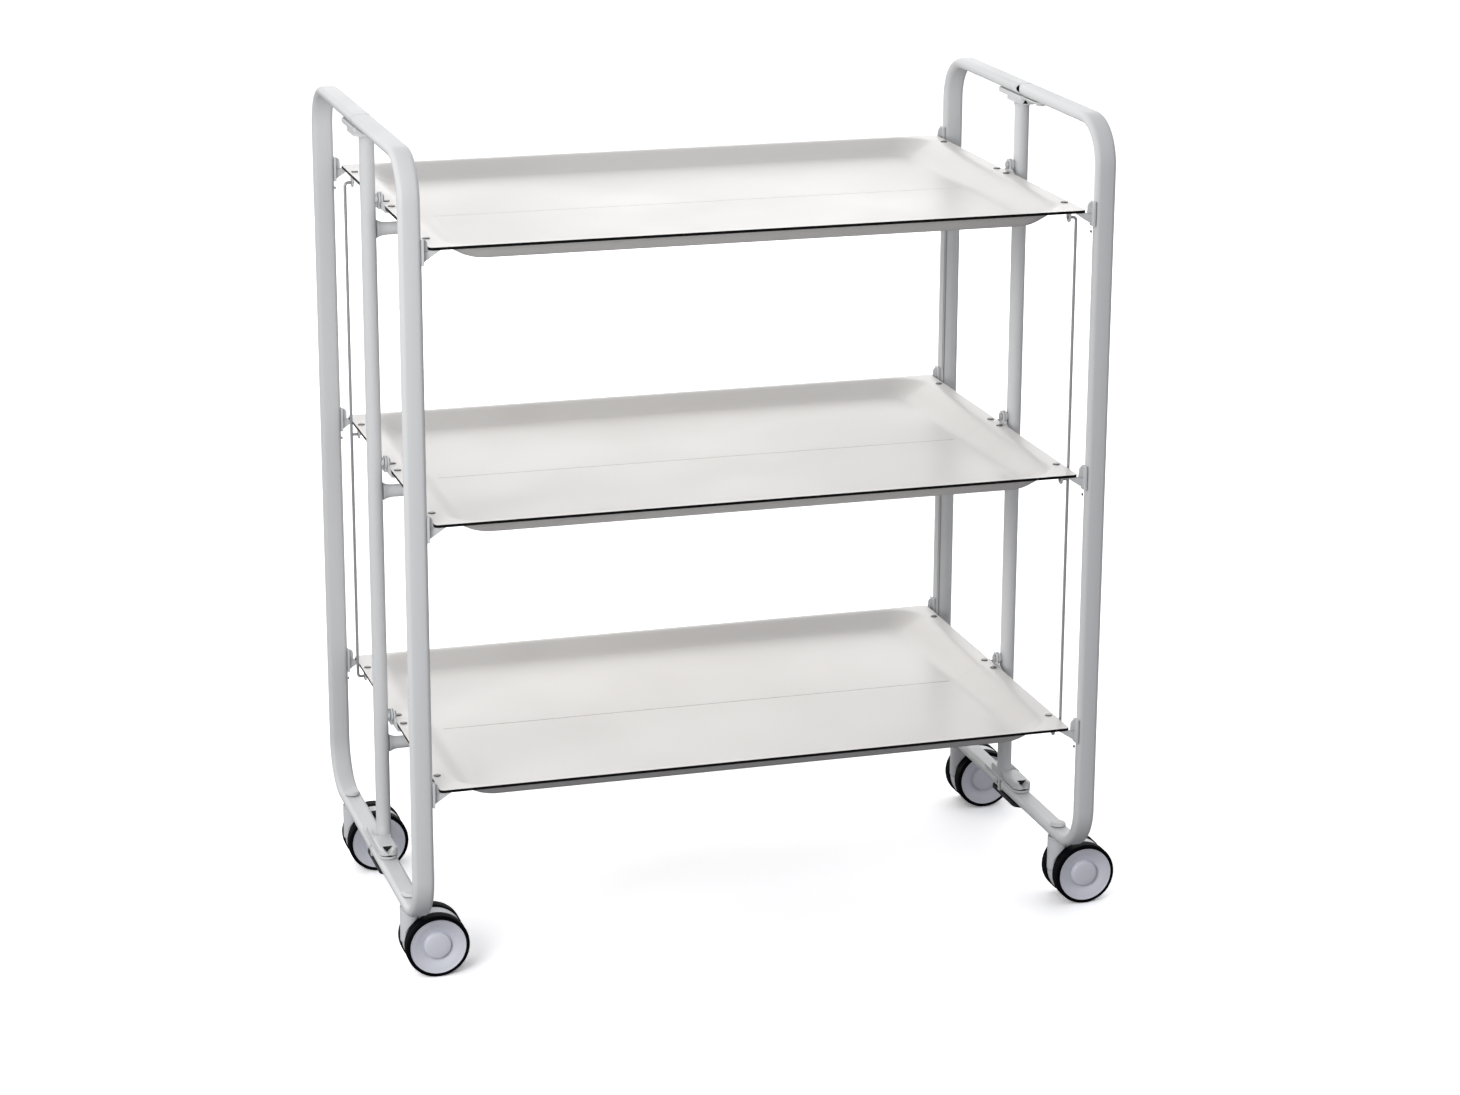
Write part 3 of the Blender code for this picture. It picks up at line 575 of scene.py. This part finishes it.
def makeFootBracket():
    sizes, x, half, pivotY = footBracket, trolley["railX"], footBracket["half"], trolley["pivotY"]
    plate = slabAcross(x, half, (sizes["front"], sizes["low"]), (sizes["rear"], sizes["high"]))
    strap = slabAcross(x, half, (sizes["front"], sizes["strapLow"]), (sizes["strapRear"], sizes["strapHigh"]),
                       finish="bareSteel")
    for part in (plate, strap):
        roundUpright(part, half - sliver, segments=12)
    ear = slabAcross(x, sizes["earHalf"], (sizes["earFront"], sizes["earLow"]), (sizes["earRear"], sizes["earTop"]))
    roundUpright(ear, sizes["earRound"], lambda middle: middle.y < sizes["earRear"] - sliver, segments=10)
    rounded(ear, sizes["earCrown"], lambda middle, run, faces: (
        middle.z > sizes["earTop"] - sliver and middle.y < sizes["earRear"] - sliver), segments=5)
    # A notch runs in from the ear's front, and its end takes the near-black bareSteel finish as painted shade.
    notchPlace = (x + sizes["hollowX"], sizes["hollowRise"])
    notch = bar((notchPlace[0], sizes["hollowRear"], notchPlace[1]),
                (notchPlace[0], sizes["hollowFront"], notchPlace[1]), sizes["hollowRadius"], count=4)
    notch.data.materials.append(materials["bareSteel"])
    cutAway(ear, recoated(notch, 1, lambda middle, normal: normal.y > square))
    walls = []
    for side in (-1, 1):
        wall = slabAcross(x + side * (sizes["earHalf"] - sizes["wall"] / 2), sizes["wall"] / 2,
                          (sizes["wallFront"], sizes["earLow"]), (sizes["wallRear"], sizes["wallTop"]))
        walls.append(rounded(wall, sizes["wallSlope"], lambda middle, run, faces: (
            abs(run.x) > square * run.length and middle.z > sizes["earTop"] and middle.y > 0), segments=6))
    seat = slabAcross(x, sizes["seatHalf"], (-sizes["seatHalf"], sizes["seatLow"]),
                      (sizes["seatRear"], sizes["seatTop"]))
    web = slabAcross(x, half, (-sizes["webHalf"], sizes["webLow"]), (sizes["webHalf"], sizes["webTop"]))
    # A thin near-black ring in the slot under the ear: painted shade for the dark slot line
    paintedShadeRing = uprightBar((x, -pivotY), sizes["shadeRingLow"], sizes["shadeRingTop"], sizes["shadeRingRadius"],
                        finish="bareSteel")
    rivet = button((x, pivotY, sizes["strapHigh"]), (x, pivotY, sizes["rivetLow"]),
                   sizes["rivetRadius"], sizes["rivetDome"], finish="powderCoat")
    for part in (plate, strap, ear, *walls):
        soften(part, sizes["edge"])
    return smoothed(joined(plate, strap, ear, *walls, seat, web, paintedShadeRing, rivet))


model = makeFootBracket()
for end, sideX in ends.items():
    placed(model, "footPivotBracket_" + end, "ladder", "foot_bracket_" + end, sideX)
cleared(model)
print("ladder done")


# Quarter frames: one bent flat-oval tube each, with three welded tray brackets

quarterFrame = {
    "sides": 32, "halfWide": 0.010, "halfThick": 0.005, "topZ": 0.775, "lowZ": 0.0707, "middleZ": 0.4,
    "bendTop": 0.040, "bendLow": 0.044, "bendSteps": 14, "tailTop": 0.0007, "tailLow": 0.0026, "tailRound": 0.008,
    "tubeWall": 0.0014, "boreDeep": 0.03, "boreSides": 24, "tubeEdgeAngle": 50, "edge": 0.0003,
    # The wedge that cuts the front's upper tail back, and how far the cutters reach past the tube
    "cutHigh": 0.7765, "cutLong": 0.019, "cutUnder": 0.001, "cutFront": -0.004,
    "reachOut": 0.002, "reachUp": 0.01, "reachFar": 0.02,
}
trayBracket = {
    "rise": 0.008, "drop": 0.015, "seat": 0.0027, "inset": 0.0008, "half": 0.0011, "tipX": 0.2935, "weld": 0.0009,
    "backThick": 0.0018, "backWeld": 0.0003, "earX": 0.3054, "earLap": 0.001, "earRound": 0.0045, "earKept": 0.002,
    "spotInset": 0.0048, "spotDrop": 0.006, "spotStart": 0.0004, "spotEnd": 0.0006, "spotRadius": 0.0014,
    "spotDome": 0.0004, "edge": 0.0003,
}


def makeBentTube(side):
    sizes, x, postY = quarterFrame, trolley["railX"], trolley["postY"]
    topZ, lowZ, bendTop, bendLow = sizes["topZ"], sizes["lowZ"], sizes["bendTop"], sizes["bendLow"]
    halfStep = math.pi / sizes["sides"]
    bpy.ops.mesh.primitive_circle_add(vertices=sizes["sides"], radius=sizes["halfThick"] / math.cos(halfStep),
                                      location=(x, sizes["tailTop"], topZ), rotation=(quarterTurn, -halfStep, 0))
    tube = coat(bpy.context.object, "powderCoat")
    settle(tube)
    edit(tube)
    widen(x, sizes["halfWide"] - sizes["halfThick"])
    bpy.ops.mesh.select_all(action="SELECT")
    extrude(0, postY - bendTop - sizes["tailTop"], 0)
    bpy.ops.mesh.spin(steps=sizes["bendSteps"], angle=quarterTurn, axis=(1, 0, 0),
                      center=(x, postY - bendTop, topZ - bendTop))
    extrude(0, 0, lowZ + bendLow - (topZ - bendTop))
    bpy.ops.mesh.spin(steps=sizes["bendSteps"], angle=quarterTurn, axis=(1, 0, 0),
                      center=(x, postY - bendLow, lowZ + bendLow))
    extrude(0, sizes["tailLow"] - (postY - bendLow), 0)
    for upper in (False, True):
        pick("EDGE", lambda middle, run, faces: faces == 1 and (middle.z > sizes["middleZ"]) == upper)
        bpy.ops.mesh.edge_face_add()
    leaveEdit()
    faceOut(tube)
    inner, tailRound = x - sizes["halfWide"], sizes["tailRound"]
    past, up, far = sizes["reachOut"], sizes["reachUp"], sizes["reachFar"]
    for tail, z in ((sizes["tailTop"], topZ), (sizes["tailLow"], lowZ)):
        corner = slab((inner - past, tail - past, z - up), (inner + tailRound, tail + tailRound, z + up))
        cutAway(corner, uprightBar((inner + tailRound, tail + tailRound), z - far, z + far, tailRound, count=48))
        if side == "front" and z == topZ:
            under = z - sizes["halfThick"] - sizes["cutUnder"]
            wedge = slabAcross(x, far, (sizes["cutFront"], under), (sizes["cutLong"], sizes["cutHigh"] + past))
            rise = (sizes["cutHigh"] - under) / (sizes["cutLong"] - tail)
            cutAway(tube, slicedAt(wedge, (x, tail, sizes["cutHigh"]), (0, rise, 1)))
        bore = ovalBar((x, tail - past, z), (x, tail + sizes["boreDeep"], z), sizes["halfWide"] - sizes["tubeWall"],
                       sizes["halfThick"] - sizes["tubeWall"], sizes["boreSides"], "bareSteel")
        cutAway(tube, corner, bore)
    return soften(tube, sizes["edge"], angle=sizes["tubeEdgeAngle"])


def makeTrayBracket(level):
    sizes, postY = trayBracket, trolley["postY"]
    inner = trolley["railX"] - quarterFrame["halfWide"]
    weldX, foot = inner + sizes["weld"], inner - sizes["backThick"]
    front, rear = postY - sizes["inset"] - sizes["half"], postY - sizes["inset"] + sizes["half"]
    low, seat, high = level - sizes["drop"], level - sizes["seat"], level + sizes["rise"]
    # The gusset starts as a slab under the rim, and its corner is sliced off along the slope.
    gusset = slab((sizes["tipX"], front, low), (weldX, rear, seat))
    slicedAt(gusset, (foot, 0, low), Vector((low - seat, 0, sizes["tipX"] - foot)))
    ear = slab((sizes["earX"], front, seat - sizes["earLap"]), (weldX, rear, high))
    rounded(ear, sizes["earRound"], lambda middle, run, faces: (
        abs(run.y) > square * run.length and middle.z > level and middle.x < inner - sizes["earKept"]), segments=8)
    halfThick = quarterFrame["halfThick"]
    back = slab((foot, postY - halfThick, low), (inner + sizes["backWeld"], postY + halfThick, high))
    for part in (gusset, ear, back):
        soften(part, sizes["edge"])
    spotPlace = (postY - sizes["spotInset"], low - sizes["spotDrop"])
    spot = button((inner + sizes["spotStart"], *spotPlace), (inner - sizes["spotEnd"], *spotPlace),
                  sizes["spotRadius"], sizes["spotDome"], count=12)
    return joined(gusset, ear, back, spot)


for side, sideY in sides.items():
    tube = makeBentTube(side)
    model = smoothed(joined(tube, *[makeTrayBracket(level) for level in trolley["rimLevels"].values()]))
    for end, sideX in ends.items():
        corner = side + "_" + end
        placed(model, "bentFrame_" + corner, "frame_" + corner, "quarter_frame_" + corner,
               sideX, sideY)
    cleared(model)
print("frames done")


# Tray halves: a thin sheet pressed into a soft recess, white on both faces with a dark core at its edges

tray = {
    "sheet": 0.0026, "corner": 0.004, "recess": 0.014, "recessCorner": 0.036, "slopeSteps": 10, "floorInset": 0.003,
    "endMargin": 0.011, "endSlope": 0.034, "sideMargin": 0.003, "sideSlope": 0.022,
    "split": 0.0007, "closedSplit": 0.00012, "splitBand": 0.0006, "splitUp": 0.2, "edge": 0.00014, "edgeAngle": 60,
}


def softDrop(share):
    return share * share * (3 - 2 * share)


def makeOutline(halfLong, halfDeep, corner, segments):
    # A flat sheet with round corners
    bpy.ops.mesh.primitive_plane_add(size=1, location=(0, 0, 0))
    outline = bpy.context.object
    outline.scale = (2 * halfLong, 2 * halfDeep, 1)
    settle(outline)
    edit(outline, "SELECT")
    bpy.ops.mesh.bevel(offset=corner, segments=segments, affect="VERTICES")
    leaveEdit()
    return outline


def makeTrayHalf():
    halfLong, halfDeep = trolley["trayLength"] / 2, trolley["trayDepth"] / 2
    recessLong = halfLong - tray["endMargin"]
    outline = makeOutline(halfLong, halfDeep, tray["corner"], segments=5)
    edit(outline)
    pick("FACE", lambda middle, normal: True)
    bpy.ops.mesh.delete(type="ONLY_FACE")
    leaveEdit()
    recess = makeOutline(recessLong, halfDeep - tray["sideMargin"], tray["recessCorner"], segments=14)
    sheet = joined(outline, recess)
    edit(sheet)
    pick("EDGE", lambda middle, run, faces: True)
    bpy.ops.mesh.fill(use_beauty=True)
    pick("FACE", lambda middle, normal: abs(middle.x) < sliver and abs(middle.y) < sliver)
    steps = tray["slopeSteps"]
    inset = tray["sideSlope"] / steps
    reach = recessLong
    for step in range(1, steps + 1):
        bpy.ops.mesh.inset(thickness=inset, use_even_offset=True)
        wanted = recessLong - tray["endSlope"] * step / steps
        bpy.ops.transform.resize(value=(wanted / (reach - inset), 1, 1), center_override=(0, 0, 0))
        fall = softDrop((step - 1) / steps) - softDrop(step / steps)
        bpy.ops.transform.translate(value=(0, 0, tray["recess"] * fall))
        reach = wanted
    bpy.ops.mesh.inset(thickness=tray["floorInset"], use_even_offset=True)
    bpy.ops.mesh.select_all(action="SELECT")
    splitY = tray["split"] / 2
    bpy.ops.mesh.bisect(plane_co=(0, splitY, 0), plane_no=(0, 1, 0), clear_inner=True)
    # The two halves nearly touch beyond the floor.
    pick("VERT", lambda point: abs(point.y - splitY) < near and abs(point.x) > reach - sliver)
    bpy.ops.transform.translate(value=(0, (tray["closedSplit"] - tray["split"]) / 2, 0))
    pick("FACE", lambda middle, normal: normal.z < 0)
    bpy.ops.mesh.flip_normals()
    leaveEdit()
    coat(sheet, "trayLaminate")
    sheet.data.materials.append(materials["trayCore"])
    applied(sheet, "SOLIDIFY", thickness=tray["sheet"], offset=-1, use_even_offset=True, material_offset_rim=1)
    applied(sheet, "BEVEL", width=tray["edge"], segments=2, limit_method="ANGLE",
            angle_limit=math.radians(tray["edgeAngle"]), material=1)
    # The core's dark edge would draw too wide a line along the split.
    recoated(sheet, 0, lambda middle, normal: middle.y < tray["splitBand"] and normal.z > tray["splitUp"])
    return smoothed(sheet)


model = makeTrayHalf()
for level, rim in trolley["rimLevels"].items():
    for side, sideY in sides.items():
        label = level + "_" + side
        placed(model, "traySheet_" + label, "tray_" + label, "tray_half_" + label,
               sideY=sideY, shift=(0, 0, rim))
cleared(model)
print("trays done")


# Straps under the tray ends: pivot eye, link-rod tab and two rivets through the tray

trayStrap = {
    "thick": 0.0016, "top": -0.0027, "innerX": 0.2935, "outerX": 0.303, "start": 0.007, "far": 0.177,
    "stripRound": 0.003, "footInset": 0.001, "footGap": 0.0002, "footEnd": 0.024, "footRound": 0.002,
    "eyeRadius": 0.006, "eyeRise": 0.0055, "eyeThick": 0.0016, "holeRadius": 0.0029, "holeReach": (-0.002, 0.004),
    "eyeInner": {"front": 0.3046, "rear": 0.3068},
    "armStart": -0.0026, "armEnd": 0.0224, "armTop": 0.0062, "armCrest": 0.0058, "armSlope": (0, 0.0075, 0.0165),
    "tabX": 0.29825, "tabThick": 0.0016, "tabY": 0.171, "tabHalf": 0.0045, "tabDrop": 0.012, "tabHole": 0.0018,
    "rivetX": 0.29825, "rivetY": (0.0125, 0.161), "rivetRadius": 0.0034, "rivetStart": -0.001, "rivetHigh": 0.0009,
    "rivetDome": 0.0007, "lowerRivetRadius": 0.00289, "edge": 0.0003,
}


def makeStrap(eyeX):
    sizes = trayStrap
    top, bottom, gap, eyeEnd = sizes["top"], sizes["top"] - sizes["thick"], sizes["footGap"], eyeX + sizes["eyeThick"]
    holeStart, holeEnd = sizes["holeReach"]
    strip = slab((sizes["innerX"], sizes["start"], bottom), (sizes["outerX"], sizes["far"], top))
    roundUpright(strip, sizes["stripRound"], segments=5)
    foot = slab((sizes["innerX"] + sizes["footInset"], sizes["start"] + gap, bottom + gap),
                (eyeEnd - gap, sizes["footEnd"], top - gap))
    roundUpright(foot, sizes["footRound"], lambda middle: middle.y > sizes["footEnd"] - sliver, segments=4)
    eyePlace = (0, sizes["eyeRise"])
    eye = levelBar(eyePlace, eyeX, eyeEnd, sizes["eyeRadius"], count=40)
    arm = slab((eyeX, sizes["armStart"], bottom), (eyeEnd, sizes["armEnd"], sizes["armTop"]))
    slicedAt(arm, (0, sizes["armCrest"], sizes["armTop"]), sizes["armSlope"])
    applied(eye, "BOOLEAN", operation="UNION", solver="EXACT", object=arm)
    cleared(arm)
    cutAway(eye, levelBar(eyePlace, eyeX + holeStart, eyeX + holeEnd, sizes["holeRadius"], count=24))
    tabX, tabY, tabZ, tabHalf = sizes["tabX"], sizes["tabY"], -sizes["tabDrop"], sizes["tabHalf"]
    tab = slab((tabX, tabY - tabHalf, tabZ - tabHalf), (tabX + sizes["tabThick"], tabY + tabHalf, top))
    rounded(tab, tabHalf - sliver, lambda middle, run, faces: (
        abs(run.x) > square * run.length and middle.z < tabZ), segments=8)
    cutAway(tab, levelBar((tabY, tabZ), tabX + holeStart, tabX + holeEnd, sizes["tabHole"], count=20))
    for part in (strip, foot, eye, tab):
        soften(part, sizes["edge"])
    rivets = []
    for y in sizes["rivetY"]:
        for low, high, radius in ((sizes["rivetStart"], sizes["rivetHigh"], sizes["rivetRadius"]),
                                  (bottom, bottom - sizes["rivetHigh"], sizes["lowerRivetRadius"])):
            rivets.append(button((sizes["rivetX"], y, low), (sizes["rivetX"], y, high), radius, sizes["rivetDome"]))
    return smoothed(joined(strip, foot, eye, tab, *rivets))


for side, sideY in sides.items():
    model = makeStrap(trayStrap["eyeInner"][side])
    for end, sideX in ends.items():
        for level, rim in trolley["rimLevels"].items():
            half = level + "_" + side
            placed(model, "hingeStrap_" + half + "_" + end, "tray_" + half, "tray_strap_" + half + "_" + end,
                   sideX, sideY, (0, 0, rim))
    cleared(model)
print("straps done")


# Link rods: round wire with a hook at each level

linkRod = {
    "radius": 0.0014, "sides": 14, "x": 0.3062, "y": 0.171, "hookX": 0.29725, "underRim": 0.012,
    "bend": 0.003, "bendSteps": 8, "smoothAngle": 30,
}


def makeLinkRod():
    x, y, bend, hookX = linkRod["x"], linkRod["y"], linkRod["bend"], linkRod["hookX"]
    high, middle, low = (level - linkRod["underRim"] for level in trolley["rimLevels"].values())
    bpy.ops.mesh.primitive_circle_add(vertices=linkRod["sides"], radius=linkRod["radius"], fill_type="NGON",
                                      location=(hookX, y, high), rotation=(0, quarterTurn, 0))
    wire = coat(bpy.context.object, "wireZinc")
    settle(wire)
    edit(wire, "SELECT")
    extrude(x - bend - hookX, 0, 0)
    for bendZ, run in ((high - bend, (0, 0, low + 2 * bend - high)), (low + bend, (hookX - x + bend, 0, 0))):
        bpy.ops.mesh.spin(steps=linkRod["bendSteps"], angle=-quarterTurn, center=(x - bend, y, bendZ), axis=(0, 1, 0))
        extrude(*run)
    leaveEdit()
    hook = levelBar((y, middle), hookX, x, linkRod["radius"], linkRod["sides"], "wireZinc")
    return smoothed(joined(wire, hook), linkRod["smoothAngle"])


model = makeLinkRod()
for end, sideX in ends.items():
    for side, sideY in sides.items():
        label = side + "_" + end
        placed(model, "linkWire_" + label, "link_rod_" + label, "link_rod_" + label, sideX, sideY)
cleared(model)
print("rods done")


# Castors: stem with a domed cap, housing between two wheels, turned hubs and tyres

castor = {
    "axleX": 0.0217, "axleZ": 0.030, "wheelRadius": 0.030, "innerFace": 0.0076, "outerFace": 0.0206,
    "stemRadius": 0.004, "stemLow": 0.032, "stemTop": 0.0774, "shadeRingRadius": 0.0066, "shadeRingLow": 0.0757,
    "shadeRingTop": 0.0766, "capRadius": 0.0074, "capLow": 0.0764, "capHigh": 0.0798, "capDome": 0.0026,
    "capEdge": 0.0003, "capEdgeAngle": 50,
    "barrelRadius": 0.0098, "barrelLow": 0.0300, "barrelTop": 0.0654, "barrelFoot": 0.003, "barrelEdge": 0.0003,
    "barrelEdgeAngle": 40, "webHalf": 0.0072, "webRadius": 0.0288, "webEdge": 0.0007, "groundGap": 0.009,
    "wheelGap": 0.0008, "hoodStart": 0.001, "hoodLow": 0.034, "hoodInset": 0.0006,
    "hoodCrest": (0.0085, 0, 0.0605), "hoodSlope": (-0.35, 0, 1),
    # Steps up the barrel's groove: how far up, and how much wider
    "groove": [(0.0001, 0.93), (0.0005, 1), (0.0001, 1 / 0.93), (0.0017, 1)],
    "tyreThick": 0.0034, "tyreEdge": 0.0018, "tyreSmoothAngle": 35, "hubRadius": 0.0263, "hubSmoothAngle": 24,
    # Inward steps across the hub's face: how far in, and how far up
    "hubLip": [(0.0005, 0.0), (0.0006, -0.0006)],
    "hubDish": [(0.0022, -0.0006), (0.0024, -0.0009), (0.0024, -0.0011), (0.0024, -0.0011), (0.0022, -0.0009)],
    "hubStep": [(0.0005, -0.0003), (0.0003, 0.0), (0.0005, 0.0034), (0.0006, 0.0006)],
    "hubDisc": [(0.0010, 0.0003), (0.0030, 0.0004), (0.0035, 0.0002)],
}


def makeStem():
    sizes = castor
    stem = uprightBar((0, 0), sizes["stemLow"], sizes["stemTop"], sizes["stemRadius"], 24, "rivetNickel")
    # A thin near-black ring under the cap: painted shade for the shadow line beneath it
    paintedShadeRing = uprightBar((0, 0), sizes["shadeRingLow"], sizes["shadeRingTop"], sizes["shadeRingRadius"], finish="bareSteel")
    cap = button((0, 0, sizes["capLow"]), (0, 0, sizes["capHigh"]), sizes["capRadius"], sizes["capDome"],
                 count=40, finish="powderCoat")
    soften(cap, sizes["capEdge"], angle=sizes["capEdgeAngle"])
    return smoothed(joined(cap, paintedShadeRing, stem))


def makeHousing():
    sizes = castor
    x, z, webHalf, webRadius = sizes["axleX"], sizes["axleZ"], sizes["webHalf"], sizes["webRadius"]
    web = bar((x, -webHalf, z), (x, webHalf, z), webRadius, count=72, finish="castorPlastic")
    slicedAt(web, (0, 0, sizes["groundGap"]), (0, 0, -1))
    barrel = uprightBar((0, 0), sizes["barrelLow"], sizes["barrelTop"], sizes["barrelRadius"], 48, "castorPlastic")
    edit(barrel)
    pick("FACE", lambda middle, normal: normal.z > square)
    bpy.ops.transform.translate(value=(0, 0, -sum(step for step, growth in sizes["groove"])))
    for step, growth in sizes["groove"]:
        extrude(0, 0, step)
        bpy.ops.transform.resize(value=(growth, growth, 1), center_override=(0, 0, 0))
    leaveEdit()
    rounded(barrel, sizes["barrelFoot"], lambda middle, run, faces: middle.z < sizes["barrelLow"] + sliver,
            segments=5)
    for side in (-1, 1):
        cutAway(barrel, bar((x, side * webHalf, z), (x, side * sizes["outerFace"], z),
                            sizes["wheelRadius"] + sizes["wheelGap"], count=72))
    hood = slab((sizes["hoodStart"], -webHalf, sizes["hoodLow"]), (x, webHalf, z + webRadius - sizes["hoodInset"]),
                finish="castorPlastic")
    slicedAt(hood, sizes["hoodCrest"], sizes["hoodSlope"])
    for part in (web, hood):
        soften(part, sizes["webEdge"])
    soften(barrel, sizes["barrelEdge"], angle=sizes["barrelEdgeAngle"])
    return smoothed(joined(barrel, web, hood))


def makeHub():
    # Faces +Y, about the axle: a lip, a sloping dish and a raised disc with a crowned middle
    sizes = castor
    hub = bar((0, sizes["innerFace"], 0), (0, sizes["outerFace"], 0), sizes["hubRadius"], 72, "hubPlastic")
    edit(hub)
    pick("FACE", lambda middle, normal: normal.y > square)
    for thickness, depth in sizes["hubLip"] + sizes["hubDish"] + sizes["hubStep"] + sizes["hubDisc"]:
        bpy.ops.mesh.inset(thickness=thickness, depth=depth)
    leaveEdit()
    return smoothed(hub, sizes["hubSmoothAngle"])


def makeTyre():
    sizes = castor
    inner, outer = sizes["innerFace"], sizes["outerFace"]
    bpy.ops.mesh.primitive_cylinder_add(vertices=80, radius=sizes["wheelRadius"], depth=outer - inner,
                                        end_fill_type="NOTHING", location=(0, (outer + inner) / 2, 0),
                                        rotation=(quarterTurn, 0, 0))
    tyre = coat(bpy.context.object, "tyreRubber")
    settle(tyre)
    applied(tyre, "SOLIDIFY", thickness=sizes["tyreThick"], offset=-1, use_even_offset=True)
    tread = sizes["wheelRadius"] - sizes["tyreThick"] / 2
    rounded(tyre, sizes["tyreEdge"], lambda middle, run, faces: (
        math.hypot(middle.x, middle.z) > tread and abs(run.y) < sliver), segments=5)
    return smoothed(tyre, sizes["tyreSmoothAngle"])


stemModel, housingModel, hubModel, tyreModel = makeStem(), makeHousing(), makeHub(), makeTyre()
for end, sideX in ends.items():
    for side, sideY in sides.items():
        corner = side + "_" + end
        x, y = sideX * trolley["railX"], sideY * trolley["castorY"]
        placed(stemModel, "castorPin_" + corner, "frame_" + corner, "castor_stem_" + corner,
               shift=(x, y, 0))
        placed(housingModel, "castorFork_" + corner, "castor_" + corner, "castor_housing_" + corner,
               shift=(x, y, 0))
        axle = (x + castor["axleX"], y, castor["axleZ"])
        for wheelSide, facing in (("outer", sideY), ("inner", -sideY)):
            label = corner + "_" + wheelSide
            placed(hubModel, "wheelHub_" + label, "wheel_" + label, "castor_hub_" + label,
                   1, facing, axle)
            placed(tyreModel, "wheelTyre_" + label, "wheel_" + label, "castor_tyre_" + label,
                   1, facing, axle)
cleared(stemModel, housingModel, hubModel, tyreModel)
print("castors done")


# Camera, floor and light

camera = {
    "place": (-0.9376, -3.1925, 1.3409), "yaw": 16.83, "pitch": 16.66, "roll": 0.23,
    "focalPixels": 3608, "imageWidth": 1460, "sensorWidth": 36, "clip": (0.05, 50),
}


def addCamera():
    data = bpy.data.cameras.new("photoCamera")
    data.sensor_width = camera["sensorWidth"]
    data.lens = camera["focalPixels"] / camera["imageWidth"] * data.sensor_width
    data.clip_start, data.clip_end = camera["clip"]
    holder = bpy.data.objects.new("photoCamera", data)
    bpy.context.scene.collection.objects.link(holder)
    turn = (Matrix.Rotation(math.radians(-camera["yaw"]), 4, "Z")
            @ Matrix.Rotation(math.radians(90 - camera["pitch"]), 4, "X")
            @ Matrix.Rotation(math.radians(camera["roll"]), 4, "Z"))
    x, y, z = camera["place"]
    holder.matrix_world = Matrix.Translation((x + trolley["middleX"], y, z)) @ turn
    bpy.context.scene.camera = holder


addCamera()

studio = {
    "floorSize": 30, "floorRoughness": 0.9, "floorSpecular": 0.1,
    "floorColour": (1.80, 1.80, 1.81, 1),
    "floorBounce": (0.20, 0.20, 0.21, 1),
    "floorGlow": (0.02, 0.02, 0.02, 1), "noGlow": (0, 0, 0, 1),
    "lightFrom": (-0.05, 0.75, -0.50),
    "brightSky": (1.64, 1.62, 1.60, 1),
    "darkSky": (0.43, 0.435, 0.455, 1),
    "skyRange": (-0.8, 0.9), "backdrop": (1, 1, 1, 1),
    "lampTarget": (0, 0, 0.3),
    "lamps": {
        "keyLight": {"place": (0.8, 3.1, 1.35), "size": 2.0, "power": 13},
        "fillLight": {"place": (-1.25, -1.35, 1.0), "size": 0.8, "power": 15.5},
    },
}


def addFloor():
    # The paper looks white to the camera, but throws less light back on the trolley.
    bpy.ops.mesh.primitive_plane_add(size=studio["floorSize"], location=(0, 0, 0))
    floor = bpy.context.object
    floor.name = "studioFloor"
    material = bpy.data.materials.new("studioPaper")
    material.use_nodes = True
    tree = material.node_tree
    seen = addNode(tree, "LightPath", {}).outputs["Is Camera Ray"]
    feed(tree, tree.nodes["Principled BSDF"], {
        "Roughness": studio["floorRoughness"], "Specular IOR Level": studio["floorSpecular"],
        "Base Color": blended(tree, seen, studio["floorBounce"], studio["floorColour"]),
        "Emission Color": blended(tree, seen, studio["noGlow"], studio["floorGlow"]), "Emission Strength": 1.0})
    floor.data.materials.append(material)


def addSky():
    # Brighter towards the back, and a plain backdrop to the camera
    world = bpy.data.worlds.new("studioWorld")
    world.use_nodes = True
    tree = world.node_tree
    direction = addNode(tree, "TexCoord", {}).outputs["Generated"]
    toward = addNode(tree, "VectorMath", {0: direction, 1: Vector(studio["lightFrom"]).normalized()},
                     operation="DOT_PRODUCT").outputs["Value"]
    share = ranged(tree, toward, studio["skyRange"], kind="SMOOTHSTEP")
    sky = blended(tree, share, studio["darkSky"], studio["brightSky"])
    seen = addNode(tree, "LightPath", {}).outputs["Is Camera Ray"]
    feed(tree, tree.nodes["Background"], {"Color": blended(tree, seen, sky, studio["backdrop"])})
    bpy.context.scene.world = world
    bpy.context.scene.view_settings.view_transform = "Standard"


def addLamps():
    for name, lamp in studio["lamps"].items():
        data = bpy.data.lights.new(name, "AREA")
        data.size, data.energy = lamp["size"], lamp["power"]
        light = bpy.data.objects.new(name, data)
        light.location = lamp["place"]
        aim = Vector(studio["lampTarget"]) - Vector(lamp["place"])
        light.rotation_euler = aim.to_track_quat("-Z", "Y").to_euler()
        bpy.context.scene.collection.objects.link(light)


addFloor()
addSky()
addLamps()
print("studio done")
